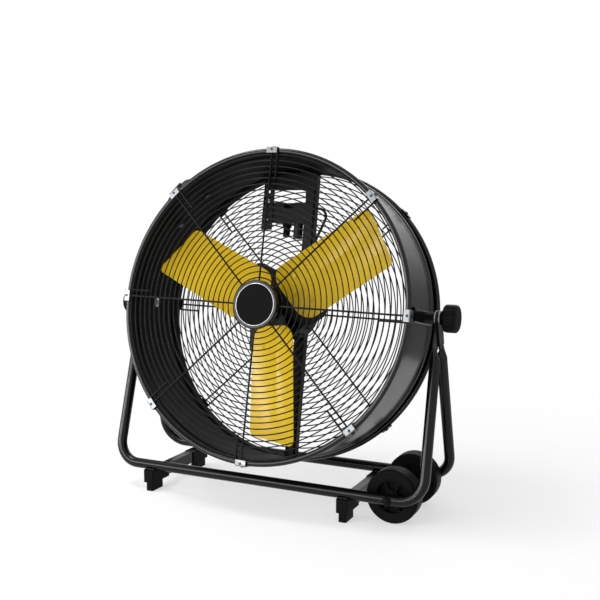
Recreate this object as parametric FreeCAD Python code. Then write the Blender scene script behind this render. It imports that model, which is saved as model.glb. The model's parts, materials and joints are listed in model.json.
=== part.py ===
import FreeCAD, Part
import math
import os
from FreeCAD import Vector

# A drum fan on a tilting tube stand, in millimetres. +Z is up, the front faces -Y, +X is to the right as
# seen from the front, and the origin is on the floor under the pivot. Everything on the drum is drawn about
# the drum's own axis (along Y, through the pivot) and then tipped front up by TILT and lifted to the pivot.

# Fits shared by all pieces
SEAT_GAP = 0.05          # between pieces that sit on each other
RUN_GAP = 0.06           # radial, between a shaft and what turns on it
MOVE_GAP = 0.4           # between faces that pass each other
OVERRUN = 6.0            # how far a cut runs past what it cuts

# Stance
TILT = 11.0              # degrees, front up
PIVOT_RISE = 35.0        # from the floor runs' middle up to the drum's inside

# Drum shell: one rolled sheet with a curl at each end and two stiffening beads
DRUM_R = 318.0           # inside
DRUM_SHEET = 1.2
DRUM_HALF = 104.0        # half its depth, over the curls
CURL_R = 6.0             # outside of the rolled edge
CURL_TURN = 285.0
FRONT_BEAD_SETBACK = 26.0
FRONT_BEAD_BEND = 6.0
REAR_BEAD_SETBACK = 36.0
REAR_BEAD_BEND = 8.0
BEAD_TURN = 45.0

# Guards: concentric wire rings behind radial spokes that double back at the rim
RING_WIRE = 2.6
SPOKE_WIRE = 4.0
FIRST_RING_R = 57.0
LAST_RING_INSET = 2.6    # outermost ring, in from the drum's inside
RING_COUNT = 22
CENTRE_RING_R = 36.0
SPOKE_COUNT = 8
SPOKE_TURN = 1.0         # degrees, first spoke off the top
SPOKE_OVERLAP = 8.0      # how far the spokes lie over the curl
WELD_SINK = 0.3          # how far a ring is pressed into a spoke
HAIRPIN_STEP = 13.0
HAIRPIN_LENGTH = 58.0

# Clips that hold the guards on the curls, and their screws
CLIP_SHEET = 1.2
CLIP_WIDTH = 24.0
CLIP_LIP = 13.0          # radial, on the face of the guard
CLIP_TAIL = 21.0         # axial, over the curl
CLIP_BEND = 1.6
CLIP_SCREW_R = 2.0
CLIP_SCREW_HEAD_R = 4.0
CLIP_SCREW_HEAD = 3.0
CLIP_SCREW_LENGTH = 5.0

# Badge on the front guard: a moulded dish with a plain round insert
BADGE_R = 51.0
BADGE_DEPTH = 8.0
BADGE_RIM = 8.0
BADGE_ROUND = 2.5
BADGE_INSET = 1.4
BADGE_PLATE = 1.0

# Fan blades: three pressed sheets, creased along their length
BLADE_COUNT = 3
BLADE_TURN = 34.5        # degrees, first blade's middle above +X
BLADE_SHEET = 1.6
BLADE_MIDDLE = -35.0     # where the blades' middle lies along the drum
BLADE_ROOT = 38.0
BLADE_TIP_INSET = 25.0   # tip corner that stands forward, in from the drum's inside
BLADE_HEEL_INSET = 47.0  # tip corner that stands back
BLADE_HALF_WIDTH = 60.0
BLADE_ROOT_ROUND = 34.0
BLADE_TIP_ROUND = 14.0
ROOT_PITCH = 24.0
TIP_PITCH = 15.0
CAMBER = 5.0
BLADE_BOW = 2.6
CREASE = 12.0
RIVET_R = 3.0
RIVET_HEAD_R = 5.5
RIVET_HEAD = 2.2
RIVET_PLACES = ((60.0, 0.0), (81.0, -27.0), (81.0, 27.0))

# Hub spider: a bored boss with an arm behind each blade root
BOSS_R = 23.0
BOSS_FRONT = -43.0
BOSS_BACK = -6.0
ARM_SHEET = 2.6
ARM_INNER = 8.0
ARM_OUTER = 104.0
ARM_FRONT = 40.0         # half width towards the edge that stands forward
ARM_BACK = 70.0          # and towards the edge that stands back, past the blade
ARM_ROUND = 26.0
HUB_NUT_R = 11.0
HUB_NUT = 8.0

# Motor
SHAFT_R = 8.0
SHAFT_FRONT = -56.0
MOTOR_R = 62.0
MOTOR_FRONT = 8.0
BELL_LENGTH = 15.0
BELL_WALL = 4.0
BELL_ROUND = 6.0
CAN_LENGTH = 40.0
CAN_WALL = 3.0
NOSE_R = 26.0
NOSE_LENGTH = 6.0
BEARING_R = 17.5
BEARING_WIDTH = 11.0
STATOR_R = 45.0
ROTOR_CORE_R = 30.0
AIR_GAP = 0.6
CORE_LENGTH = 30.0
FIN_COUNT = 20
FIN_HEIGHT = 3.0
FIN_WIDTH = 2.4
MOTOR_BOLT_R = 2.5
MOTOR_BOLT_X = 15.0
MOTOR_BOLT_Z = 50.0
MOTOR_BOLT_HEAD_R = 5.0
MOTOR_BOLT_HEAD = 4.0

# Motor bar: an upright channel from the top of the drum to the bottom
BAR_WIDTH = 25.0
BAR_DEPTH = 21.0
BAR_SHEET = 2.5
BAR_BEND = 2.5
BAR_TAB = 14.0
BAR_SCREW_R = 3.0

# Switch box between the motor bar and a hanging strap
STRAP_WIDTH = 27.0
STRAP_SHEET = 3.0
STRAP_X = -88.0          # its middle
STRAP_TAIL = 16.0        # below the box
STRAP_SLOT = 6.0
BOX_SHEET = 1.5
BOX_LEFT = -70.0
BOX_RIGHT = -1.0
BOX_INSET = 68.0         # its top, in from the drum's inside
BOX_HEIGHT = 48.0
BOX_NOTCH_WIDTH = 26.0
BOX_NOTCH_DROP = 13.0
BOX_SCREW_R = 2.5
BOX_SCREW_RISE = 9.0     # above the box's lower edge
SWITCH_X = -34.0
SWITCH_BLOCK = 28.0
SWITCH_BLOCK_DEPTH = 12.0
SWITCH_SHAFT_R = 3.0
KNOB_R = 17.0
KNOB_LENGTH = 13.0
KNOB_GRIP = 7.0          # width of the grip bar across the knob
KNOB_SKIRT = 5.0
CAPACITOR_R = 13.0
CAPACITOR_LENGTH = 34.0
CAPACITOR_X = -13.0
GLAND_R = 8.0
GLAND_LENGTH = 30.0
GLAND_BORE_R = 3.6
GLAND_NUT_R = 11.0
GLAND_NUT = 8.0
GLAND_X = -42.0

# Lead from the switch box to the motor, through the channel and round its side
LEAD_R = 3.0
LEAD_BEND = 22.0
LEAD_HOLE_GAP = 1.5
LEAD_DROP = 12.0         # below the box's top
LEAD_OUT = 62.0
LEAD_FALL = 100.0        # from there down to the straight run into the motor
LEAD_ENTRY_X = 30.0
LEAD_SINK = 6.0

# Carry handle on the upper left of the drum
HANDLE_ANGLE = 137.0
HANDLE_Y = -20.0
HANDLE_HALF = 46.0
HANDLE_RISE = 57.0       # crown's centre line above the shell
HANDLE_BEND = 26.0
HANDLE_ROD_R = 6.0
HANDLE_FLANGE_R = 13.0
HANDLE_FLANGE = 4.0
GRIP_R = 11.0
GRIP_LENGTH = 36.0
GRIP_ROUND = 4.0
HANDLE_SCREW_HEAD_R = 6.0
HANDLE_SCREW_HEAD = 3.0
HANDLE_SCREW_R = 2.5
HANDLE_SCREW_LENGTH = 12.0

# Pivots: plates on the drum's sides, spacers, carriage bolts, washers and clamp knobs
PIVOT_PLATE_HEIGHT = 31.0
PIVOT_PLATE_RISE = 8.0   # off the shell
PIVOT_PLATE_FRONT = -66.0
PIVOT_PLATE_BACK = 52.0
PIVOT_PLATE_SHEET = 3.0
PIVOT_PLATE_BEND = 3.0
PIVOT_BOLT_R = 5.0
PIVOT_BOLT_COVER = 8.5   # knob left beyond the bolt's end
PIVOT_HEAD_R = 11.0
PIVOT_HEAD = 5.0
SPACER_R = 12.0
WASHER_R = 15.0
NYLON_WASHER = 2.0
STEEL_WASHER = 2.0
CLAMP_R = 28.5
CLAMP_BOSS = 6.0         # length of its boss
CLAMP_HEAD = 29.0
CLAMP_BOSS_R = 14.0
CLAMP_ROUND = 7.0
CLAMP_LOBES = 8
CLAMP_SCALLOP_R = 9.0
CLAMP_SCALLOP_DEPTH = 2.2

# Stand: two bent tubes, flattened where they cross at the pivot
TUBE_R = 11.0
TUBE_WALL = 1.5
TUBE_HALF_SPACING = 100.0
TUBE_HEIGHT = 56.5       # centre line of the floor runs
TOP_REACH = 36.6         # from the shell to the face between the two flattened ends
LEG_SPREAD = 3.7         # legs stand wider at the floor by this much
TUBE_BEND = 50.0
FLAT_SHEET = 3.2
FLAT_WIDTH = 31.0
FLAT_LENGTH = 62.0       # pivot to the start of the taper
TAPER_LENGTH = 24.0

# Cross bars and their moulded feet
CROSS_WIDTH = 20.0
CROSS_LOW = 22.0
CROSS_HIGH = 48.0
CROSS_WALL = 1.5
LEFT_CROSS_INSET = 90.5  # in from the stand's corner
RIGHT_CROSS_INSET = 163.5
FOOT_FRONT = 117.0       # end face, from the middle
FOOT_WALL = 2.5
FOOT_LENGTH = 64.0
FOOT_ROUND = 3.0
PAD_WIDTH = 17.0
PAD_LENGTH = 42.0
PAD_SETBACK = 4.0
PAD_ROUND = 3.0

# Wheels and axle
WHEEL_INSET = 70.0       # in from the stand's corner
WHEEL_Y = 64.0
WHEEL_R = 54.8
WHEEL_WIDTH = 38.0
WHEEL_ROUND = 5.0
RIM_INNER_R = 33.0
RECESS = 11.0
WHEEL_BOSS_R = 14.0
BOSS_RECESS = 2.0
RIB_COUNT = 6
RIB_WIDTH = 4.0
RIB_RECESS = 4.0
AXLE_R = 6.0
AXLE_CAP_R = 9.5
AXLE_CAP = 6.0
COLLAR_R = 11.0
COLLAR = 6.0

ORIGIN = Vector(0, 0, 0)
X_AXIS = Vector(1, 0, 0)
Y_AXIS = Vector(0, 1, 0)
Z_AXIS = Vector(0, 0, 1)

# Places that follow from the sizes above
DRUM_OUTER_R = DRUM_R + DRUM_SHEET
RIM_R = DRUM_R + 2 * CURL_R
LAST_RING_R = DRUM_R - LAST_RING_INSET
RING_PITCH = (LAST_RING_R - FIRST_RING_R) / (RING_COUNT - 1)
RING_RADII = [FIRST_RING_R + RING_PITCH * i for i in range(RING_COUNT)]
SPOKE_END_R = DRUM_R + SPOKE_OVERLAP
GUARD_FACE = DRUM_HALF + SPOKE_WIRE
CLIP_FACE = GUARD_FACE + SEAT_GAP + CLIP_SHEET
CLIP_TOP_R = RIM_R + SEAT_GAP + CLIP_SHEET
CURL_MIDDLE = DRUM_HALF - CURL_R
BLADE_TIP = DRUM_R - BLADE_TIP_INSET
BLADE_HEEL = DRUM_R - BLADE_HEEL_INSET
CAN_FRONT = MOTOR_FRONT + BELL_LENGTH
CAN_BACK = CAN_FRONT + CAN_LENGTH
MOTOR_BACK = CAN_BACK + BELL_LENGTH
BAR_FRONT = MOTOR_BACK
BAR_BACK = BAR_FRONT + BAR_DEPTH
BOX_HIGH = DRUM_R - BOX_INSET
BOX_LOW = BOX_HIGH - BOX_HEIGHT
BOX_FRONT = BAR_FRONT - BOX_SHEET - SEAT_GAP
STRAP_LOW = BOX_LOW - STRAP_TAIL
STRAP_FRONT = BOX_FRONT - SEAT_GAP - STRAP_SHEET
RING_GAPS = [(inner + outer) / 2 for inner, outer in zip(RING_RADII, RING_RADII[1:])]
SWITCH_R = min(RING_GAPS, key=lambda gap: abs(gap - (BOX_LOW + BOX_HIGH) / 2))
SWITCH_Z = math.sqrt(SWITCH_R ** 2 - SWITCH_X ** 2)
KNOB_FRONT = GUARD_FACE + MOVE_GAP
PIVOT_HEIGHT = TUBE_HEIGHT + DRUM_R + PIVOT_RISE
PLATE_FACE = DRUM_OUTER_R + PIVOT_PLATE_RISE
TOP_HALF_WIDTH = DRUM_OUTER_R + TOP_REACH
BASE_HALF_WIDTH = TOP_HALF_WIDTH + LEG_SPREAD
INNER_FLAT = TOP_HALF_WIDTH - SEAT_GAP - FLAT_SHEET
NYLON_FACE = INNER_FLAT - SEAT_GAP - NYLON_WASHER
SPACER_END = NYLON_FACE - MOVE_GAP
STEEL_FACE = TOP_HALF_WIDTH + FLAT_SHEET + SEAT_GAP
CLAMP_INNER = STEEL_FACE + STEEL_WASHER + MOVE_GAP
CLAMP_SHOULDER = CLAMP_INNER + CLAMP_BOSS
CLAMP_FACE = CLAMP_SHOULDER + CLAMP_HEAD
PIVOT_BOLT_END = CLAMP_FACE - PIVOT_BOLT_COVER
LEFT_CROSS_X = LEFT_CROSS_INSET - BASE_HALF_WIDTH
RIGHT_CROSS_X = BASE_HALF_WIDTH - RIGHT_CROSS_INSET
WHEEL_X = BASE_HALF_WIDTH - WHEEL_INSET
FOOT_WIDTH = CROSS_WIDTH + 2 * (FOOT_WALL + SEAT_GAP)
CROSS_END = FOOT_FRONT - FOOT_WALL - SEAT_GAP


def on_drum(shape):
    """From the drum's own frame to the stand's: front tipped up, then lifted to the pivot."""
    return shape.rotated(ORIGIN, X_AXIS, -TILT).translated(Z_AXIS * PIVOT_HEIGHT)


def about_y(shape, degrees):
    """Turn about the drum's axis, anticlockwise as seen from the front."""
    return shape.rotated(ORIGIN, Y_AXIS, -degrees)


def cylinder(radius, start, end):
    """Round bar between two points."""
    along = end - start
    return Part.makeCylinder(radius, along.Length, start, along)


def tube(outer, inner, start, end):
    """Round bar with a bore right through."""
    along = (end - start).normalize()
    bore = cylinder(inner, start - along * OVERRUN, end + along * OVERRUN)
    return cylinder(outer, start, end).cut(bore)


def block(low, high):
    """Box between two corners."""
    size = high - low
    return Part.makeBox(size.x, size.y, size.z, low)


def dome(radius, height, base, axis):
    """Shallow round head standing on its flat face."""
    ball = (radius ** 2 + height ** 2) / (2 * height)
    lean = math.asin(radius / ball) / 2
    edge, top = X_AXIS * radius, Z_AXIS * height
    middle = X_AXIS * ball * math.sin(lean) + Z_AXIS * (ball * math.cos(lean) - ball + height)
    rim = Part.Arc(edge, middle, top).toShape()
    sides = [Part.LineSegment(p, q).toShape() for p, q in ((top, ORIGIN), (ORIGIN, edge))]
    cap = Part.Face(Part.Wire([rim] + sides)).revolve(ORIGIN, Z_AXIS, 360)
    cap.Placement = FreeCAD.Placement(base, FreeCAD.Rotation(Z_AXIS, axis))
    return cap


def outline(place, corners):
    """Closed wire through corners (a, b, rounding), each rounded by an arc."""
    count = len(corners)
    points = [Vector(a, b, 0) for a, b, rounding in corners]
    edges = []
    ends = []
    for i, (a, b, rounding) in enumerate(corners):
        back = (points[i - 1] - points[i]).normalize()
        ahead = (points[(i + 1) % count] - points[i]).normalize()
        half = back.getAngle(ahead) / 2
        reach = rounding / math.tan(half)
        middle = points[i] + (back + ahead).normalize() * (rounding / math.sin(half) - rounding)
        ends.append((points[i] + back * reach, middle, points[i] + ahead * reach))
    flat = [[place(p.x, p.y) for p in corner] for corner in ends]
    for i, (first, middle, last) in enumerate(flat):
        if corners[i][2] > 0:
            edges.append(Part.Arc(first, middle, last).toShape())
        edges.append(Part.LineSegment(last, flat[(i + 1) % count][0]).toShape())
    return Part.Wire(edges)


def slab(place, corners, push):
    """Rounded outline pushed into a solid."""
    return Part.Face(outline(place, corners)).extrude(push)


def bent_sheet(place, start, heading, moves, thickness):
    """End view of a bent sheet, from its middle line: (length,) is a straight, (radius, degrees) a bend."""
    a, b = start
    turn = math.radians(heading)
    sides = {1: [], -1: []}
    half = thickness / 2
    for move in moves:
        normal = (-math.sin(turn), math.cos(turn))
        if len(move) == 1:
            far = (a + move[0] * math.cos(turn), b + move[0] * math.sin(turn))
            for side, edges in sides.items():
                shift = [side * half * n for n in normal]
                first = place(a + shift[0], b + shift[1])
                last = place(far[0] + shift[0], far[1] + shift[1])
                edges.append(Part.LineSegment(first, last).toShape())
            a, b = far
            continue
        radius, angle = move[0], math.radians(move[1])
        way = math.copysign(1, angle)
        centre = [p + way * radius * n for p, n in zip((a, b), normal)]
        begin = turn - way * math.pi / 2
        for side, edges in sides.items():
            reach = radius - side * way * half
            spots = [begin + angle * k / 2 for k in range(3)]
            edges.append(Part.Arc(*[place(centre[0] + reach * math.cos(s), centre[1] + reach * math.sin(s))
                                    for s in spots]).toShape())
        a = centre[0] + radius * math.cos(begin + angle)
        b = centre[1] + radius * math.sin(begin + angle)
        turn += angle
    left, right = sides[1], sides[-1]
    caps = [(left[0].firstVertex().Point, right[0].firstVertex().Point),
            (left[-1].lastVertex().Point, right[-1].lastVertex().Point)]
    ends = [Part.LineSegment(p, q).toShape() for p, q in caps]
    return Part.Face(Part.Wire(Part.__sortEdges__(left + right + ends)))


def bent_path(points, radius):
    """Straight runs joined by tangent arcs."""
    edges = []
    here = points[0]
    for before, corner, after in zip(points, points[1:], points[2:]):
        back = (before - corner).normalize()
        ahead = (after - corner).normalize()
        half = back.getAngle(ahead) / 2
        reach = radius / math.tan(half)
        middle = corner + (back + ahead).normalize() * (radius / math.sin(half) - radius)
        first, last = corner + back * reach, corner + ahead * reach
        edges.append(Part.LineSegment(here, first).toShape())
        edges.append(Part.Arc(first, middle, last).toShape())
        here = last
    edges.append(Part.LineSegment(here, points[-1]).toShape())
    return Part.Wire(edges)


def bent_rod(points, bend, radius):
    """Round rod swept along a bent path."""
    ring = Part.Circle(points[0], points[1] - points[0], radius).toShape()
    return bent_path(points, bend).makePipeShell([Part.Wire(ring)], True, False)


def fused(shapes):
    """One solid from pieces that run into each other."""
    return shapes[0].multiFuse(shapes[1:]).removeSplitter()


def radial(angle, radius, y):
    """Point of the drum at an angle up from +X."""
    turn = math.radians(angle)
    return Vector(radius * math.cos(turn), y, radius * math.sin(turn))


def spoke_angles():
    """Where the spokes and their clips stand, as angles up from +X."""
    return [90 - SPOKE_TURN - 360 / SPOKE_COUNT * i for i in range(SPOKE_COUNT)]


def drum_shell():
    """Rolled sheet with an open curl at each end, two beads and its drilled holes."""
    curl = CURL_R - DRUM_SHEET / 2
    wall = DRUM_R + DRUM_SHEET / 2
    beads = []
    for bend in (FRONT_BEAD_BEND, REAR_BEAD_BEND):
        beads.append([(bend, BEAD_TURN), (bend, -2 * BEAD_TURN), (bend, BEAD_TURN)])
    reach = [2 * bend * math.sin(math.radians(BEAD_TURN)) for bend in (FRONT_BEAD_BEND, REAR_BEAD_BEND)]
    first = FRONT_BEAD_SETBACK - CURL_R - reach[0]
    last = REAR_BEAD_SETBACK - CURL_R - reach[1]
    panel = 2 * CURL_MIDDLE - first - last - 2 * (reach[0] + reach[1])
    moves = [(curl, CURL_TURN), (first,)] + beads[0] + [(panel,)] + beads[1] + [(last,), (curl, CURL_TURN)]
    begin = -90 - CURL_TURN
    lean = math.radians(begin)
    start = (curl * math.cos(lean) - CURL_MIDDLE, wall + curl + curl * math.sin(lean))
    face = bent_sheet(lambda y, r: Vector(0, y, r), start, begin + 90, moves, DRUM_SHEET)
    shell = face.revolve(ORIGIN, Y_AXIS, 360)
    holes = []
    for angle in spoke_angles():
        for side in (-1, 1):
            outside = radial(angle, RIM_R + OVERRUN, side * CURL_MIDDLE)
            inside = radial(angle, RIM_R - CURL_R, side * CURL_MIDDLE)
            holes.append(cylinder(CLIP_SCREW_R + SEAT_GAP, inside, outside))
    for side in (-1, 1):
        holes.append(cylinder(PIVOT_BOLT_R + SEAT_GAP, X_AXIS * side * (DRUM_R - OVERRUN),
                              X_AXIS * side * (DRUM_R + OVERRUN)))
        screw = Vector(bar_middle(), bar_screw_y(), side * (DRUM_R - OVERRUN))
        holes.append(cylinder(BAR_SCREW_R + SEAT_GAP, screw, screw + Z_AXIS * side * 2 * OVERRUN))
    for base, up in handle_feet():
        holes.append(cylinder(HANDLE_SCREW_R + SEAT_GAP, base - up * OVERRUN * 2, base + up * OVERRUN * 2))
    return shell.cut(Part.Compound(holes))


def guard(side):
    """Rings laid on spokes whose ends double back at the rim, all welded into one piece."""
    ring_face = DRUM_HALF + WELD_SINK
    wires = []
    for radius in [CENTRE_RING_R] + RING_RADII:
        near = Y_AXIS * side * (ring_face - RING_WIRE)
        half = RING_WIRE / 2
        wires.append(tube(radius + half, radius - half, near, Y_AXIS * side * ring_face))
    low_y, high_y = sorted((side * DRUM_HALF, side * GUARD_FACE))
    half = SPOKE_WIRE / 2
    for angle in spoke_angles():
        spoke = block(Vector(CENTRE_RING_R - half, low_y, -half), Vector(SPOKE_END_R, high_y, half))
        step = side * HAIRPIN_STEP
        back = block(Vector(SPOKE_END_R - HAIRPIN_LENGTH, low_y, step - half),
                     Vector(SPOKE_END_R, high_y, step + half))
        near, far = sorted((0, step))
        bend = block(Vector(SPOKE_END_R - SPOKE_WIRE, low_y, near - half),
                     Vector(SPOKE_END_R, high_y, far + half))
        wires += [about_y(piece, angle) for piece in (spoke, back, bend)]
    return fused(wires)


def guard_clips(side):
    """Bent zinc clips over the spoke ends and the curl."""
    lip = CLIP_LIP - CLIP_BEND - CLIP_SHEET / 2
    tail = CLIP_TAIL - CLIP_BEND - CLIP_SHEET / 2
    half = CLIP_SHEET / 2
    start = (CLIP_TOP_R - CLIP_LIP, CLIP_FACE - half)
    face = bent_sheet(lambda r, y: Vector(r, side * y, -CLIP_WIDTH / 2), start, 0,
                      [(lip,), (CLIP_BEND, -90), (tail,)], CLIP_SHEET)
    clip = face.extrude(Z_AXIS * CLIP_WIDTH)
    at = Vector(0, side * CURL_MIDDLE, 0)
    hole = cylinder(CLIP_SCREW_R + SEAT_GAP, at + X_AXIS * DRUM_R, at + X_AXIS * (CLIP_TOP_R + OVERRUN))
    clip = clip.cut(hole)
    return Part.Compound([about_y(clip, angle) for angle in spoke_angles()])


def clip_screws(side):
    """Round-headed screws through the clips into the curl."""
    at = Vector(CLIP_TOP_R + SEAT_GAP, side * CURL_MIDDLE, 0)
    head = dome(CLIP_SCREW_HEAD_R, CLIP_SCREW_HEAD, at, X_AXIS)
    shank = cylinder(CLIP_SCREW_R, at - X_AXIS * CLIP_SCREW_LENGTH, at)
    screw = fused([head, shank])
    return Part.Compound([about_y(screw, angle) for angle in spoke_angles()])


def badge_bezel():
    """Round moulded dish on the front of the spokes, with a recess for the insert."""
    back = -GUARD_FACE - SEAT_GAP
    front = back - BADGE_DEPTH
    inner = BADGE_R - BADGE_RIM
    floor = front + BADGE_INSET
    corners = [(0, back, 0), (BADGE_R, back, 0), (BADGE_R, front, BADGE_ROUND),
               (inner, front, BADGE_INSET / 2), (inner, floor, 0), (0, floor, 0)]
    face = Part.Face(outline(lambda r, y: Vector(r, y, 0), corners))
    return face.revolve(ORIGIN, Y_AXIS, 360)


def badge_plate():
    """Plain round insert in the dish."""
    floor = -GUARD_FACE - SEAT_GAP - BADGE_DEPTH + BADGE_INSET
    return cylinder(BADGE_R - BADGE_RIM - MOVE_GAP, Y_AXIS * (floor - SEAT_GAP - BADGE_PLATE),
                    Y_AXIS * (floor - SEAT_GAP))


def blade_pitch(span):
    """Pitch angle in radians: it washes out towards the tip."""
    share = (span - BLADE_ROOT) / (BLADE_TIP - BLADE_ROOT)
    return math.radians(ROOT_PITCH + (TIP_PITCH - ROOT_PITCH) * share)


def blade_section(span):
    """Five (width, y) points of the blades' front face at a span: edge, bow, crease, bow, edge."""
    edge = BLADE_HALF_WIDTH + 2 * OVERRUN
    slope = math.tan(blade_pitch(span))
    widths = [-edge, (CREASE - edge) / 2, CREASE, (CREASE + edge) / 2, edge]
    camber = [0, CAMBER / 2 + BLADE_BOW, CAMBER, CAMBER / 2 + BLADE_BOW, 0]
    return [(w, BLADE_MIDDLE - w * slope + c) for w, c in zip(widths, camber)]


def blade_y(span, width):
    """Where the front face lies at a span and width: the parabola through the nearer three points."""
    points = blade_section(span)
    p, q, r = points[:3] if width <= CREASE else points[2:]
    total = 0
    for (w0, y0), (w1, y1), (w2, y2) in ((p, q, r), (q, r, p), (r, p, q)):
        total += y0 * (width - w1) * (width - w2) / ((w0 - w1) * (w0 - w2))
    return total


def bladed_sheet(spans, setback, thickness):
    """Sheet that follows the blade's form, behind its front face by the setback."""
    wires = []
    for span in spans:
        edges = []
        front, back = [[Vector(span, y + shift, w) for w, y in blade_section(span)]
                       for shift in (setback, setback + thickness)]
        edges.append(Part.Arc(front[0], front[1], front[2]).toShape())
        edges.append(Part.Arc(front[2], front[3], front[4]).toShape())
        edges.append(Part.LineSegment(front[4], back[4]).toShape())
        edges.append(Part.Arc(back[4], back[3], back[2]).toShape())
        edges.append(Part.Arc(back[2], back[1], back[0]).toShape())
        edges.append(Part.LineSegment(back[0], front[0]).toShape())
        wires.append(Part.Wire(edges))
    return Part.makeLoft(wires, True, False)


def trimmed(sheet, corners):
    """Sheet cut to a rounded outline seen along the drum's axis."""
    depth = DRUM_HALF
    return sheet.common(slab(lambda u, w: Vector(u, -depth, w), corners, Y_AXIS * 2 * depth))


def rivet_line(span, width):
    """Point on the blade's front face and the direction square to it, pointing back."""
    slope = (blade_y(span, width + RIVET_R) - blade_y(span, width - RIVET_R)) / (2 * RIVET_R)
    return Vector(span, blade_y(span, width), width), Vector(0, 1, -slope).normalize()


def rivet_holes():
    """Drills for the rivets of the blade that lies along +X."""
    drills = []
    for span, width in RIVET_PLACES:
        at, back = rivet_line(span, width)
        drills.append(cylinder(RIVET_R + SEAT_GAP, at - back * OVERRUN, at + back * OVERRUN * 2))
    return Part.Compound(drills)


def blade():
    """Pressed blade along +X, with a slanted tip and a rounded root."""
    middle = (BLADE_ROOT + BLADE_TIP) / 2
    sheet = bladed_sheet((BLADE_ROOT - OVERRUN, middle, BLADE_TIP + OVERRUN), 0, BLADE_SHEET)
    half = BLADE_HALF_WIDTH
    corners = [(BLADE_ROOT, -half, BLADE_ROOT_ROUND), (BLADE_HEEL, -half, BLADE_TIP_ROUND),
               (BLADE_TIP, half, BLADE_TIP_ROUND), (BLADE_ROOT, half, BLADE_ROOT_ROUND)]
    return trimmed(sheet, corners).cut(rivet_holes())


def blades():
    """Blades at equal angles about the axis."""
    return [about_y(blade(), BLADE_TURN + 360 / BLADE_COUNT * i) for i in range(BLADE_COUNT)]


def hub_spider():
    """Bored boss with a formed arm behind each blade root."""
    setback = BLADE_SHEET + SEAT_GAP
    sheet = bladed_sheet((ARM_INNER - OVERRUN, BLADE_ROOT, ARM_OUTER + OVERRUN), setback, ARM_SHEET)
    corners = [(ARM_INNER, -BOSS_R, 0), (BLADE_ROOT, -ARM_BACK, ARM_ROUND),
               (ARM_OUTER, -ARM_BACK, ARM_ROUND), (ARM_OUTER, ARM_FRONT, ARM_ROUND),
               (BLADE_ROOT, ARM_FRONT, ARM_ROUND), (ARM_INNER, BOSS_R, 0)]
    arm = trimmed(sheet, corners).cut(rivet_holes())
    arms = [about_y(arm, BLADE_TURN + 360 / BLADE_COUNT * i) for i in range(BLADE_COUNT)]
    boss = cylinder(BOSS_R, Y_AXIS * BOSS_FRONT, Y_AXIS * BOSS_BACK)
    bore = cylinder(SHAFT_R + SEAT_GAP, Y_AXIS * (BOSS_FRONT - OVERRUN), Y_AXIS * (BOSS_BACK + OVERRUN))
    return fused([boss] + arms).cut(bore)


def blade_rivets():
    """Domed rivets through the blades and arms."""
    rivets = []
    stack = BLADE_SHEET + SEAT_GAP + ARM_SHEET
    for span, width in RIVET_PLACES:
        at, back = rivet_line(span, width)
        grip = stack * back.y + MOVE_GAP
        front = at - back * MOVE_GAP / 2
        rear = front + back * grip
        rivets.append(fused([dome(RIVET_HEAD_R, RIVET_HEAD, front, -back), cylinder(RIVET_R, front, rear),
                             dome(RIVET_HEAD_R, RIVET_HEAD, rear, back)]))
    around = [about_y(r, BLADE_TURN + 360 / BLADE_COUNT * i) for i in range(BLADE_COUNT) for r in rivets]
    return Part.Compound(around)


def hub_nut():
    """Hexagon nut that holds the spider on the shaft."""
    turns = [math.pi / 3 * i for i in range(6)]
    corners = [(HUB_NUT_R * math.cos(turn), HUB_NUT_R * math.sin(turn), 0) for turn in turns]
    back = BOSS_FRONT - SEAT_GAP
    front = back - HUB_NUT
    nut = slab(lambda a, b: Vector(a, front, b), corners, Y_AXIS * HUB_NUT)
    return nut.cut(cylinder(SHAFT_R + SEAT_GAP, Y_AXIS * (front - OVERRUN), Y_AXIS * (back + OVERRUN)))


def motor_shaft():
    """Shaft from the hub nut to the rear bearing."""
    return cylinder(SHAFT_R, Y_AXIS * SHAFT_FRONT, Y_AXIS * (MOTOR_BACK - BELL_WALL - MOVE_GAP))


def motor_bolt_places():
    """Where the motor's through bolts stand: right-hand ones also go through the motor bar."""
    return [(x, z) for x in (-MOTOR_BOLT_X, MOTOR_BOLT_X) for z in (-MOTOR_BOLT_Z, MOTOR_BOLT_Z)]


def motor_bolt_holes():
    """Drills for the through bolts."""
    ends = (MOTOR_FRONT - OVERRUN, BAR_BACK)
    return Part.Compound([cylinder(MOTOR_BOLT_R + SEAT_GAP, Vector(x, ends[0], z), Vector(x, ends[1], z))
                          for x, z in motor_bolt_places()])


def motor_bell(face, inward):
    """End bell: a rounded cup with a bearing seat, opening along the inward direction."""
    rim = face + inward * BELL_LENGTH
    floor = face + inward * BELL_WALL
    inner = MOTOR_R - CAN_WALL
    seat = BEARING_R + SEAT_GAP
    collar = floor + inward * BEARING_WIDTH
    corners = [(seat, face, 0), (MOTOR_R, face, BELL_ROUND), (MOTOR_R, rim, 0), (inner, rim, 0),
               (inner, floor, 0), (seat + BELL_WALL, floor, 0), (seat + BELL_WALL, collar, 0),
               (seat, collar, 0)]
    cup = Part.Face(outline(lambda r, y: Vector(r, y, 0), corners)).revolve(ORIGIN, Y_AXIS, 360)
    return cup.cut(motor_bolt_holes())


def motor_front_bell():
    """Front end bell with a nose round the shaft."""
    bell = motor_bell(MOTOR_FRONT, 1)
    tip, root = MOTOR_FRONT - NOSE_LENGTH, MOTOR_FRONT + BELL_WALL
    nose = tube(NOSE_R, SHAFT_R + MOVE_GAP, Y_AXIS * tip, Y_AXIS * root)
    return fused([bell, nose])


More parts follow.
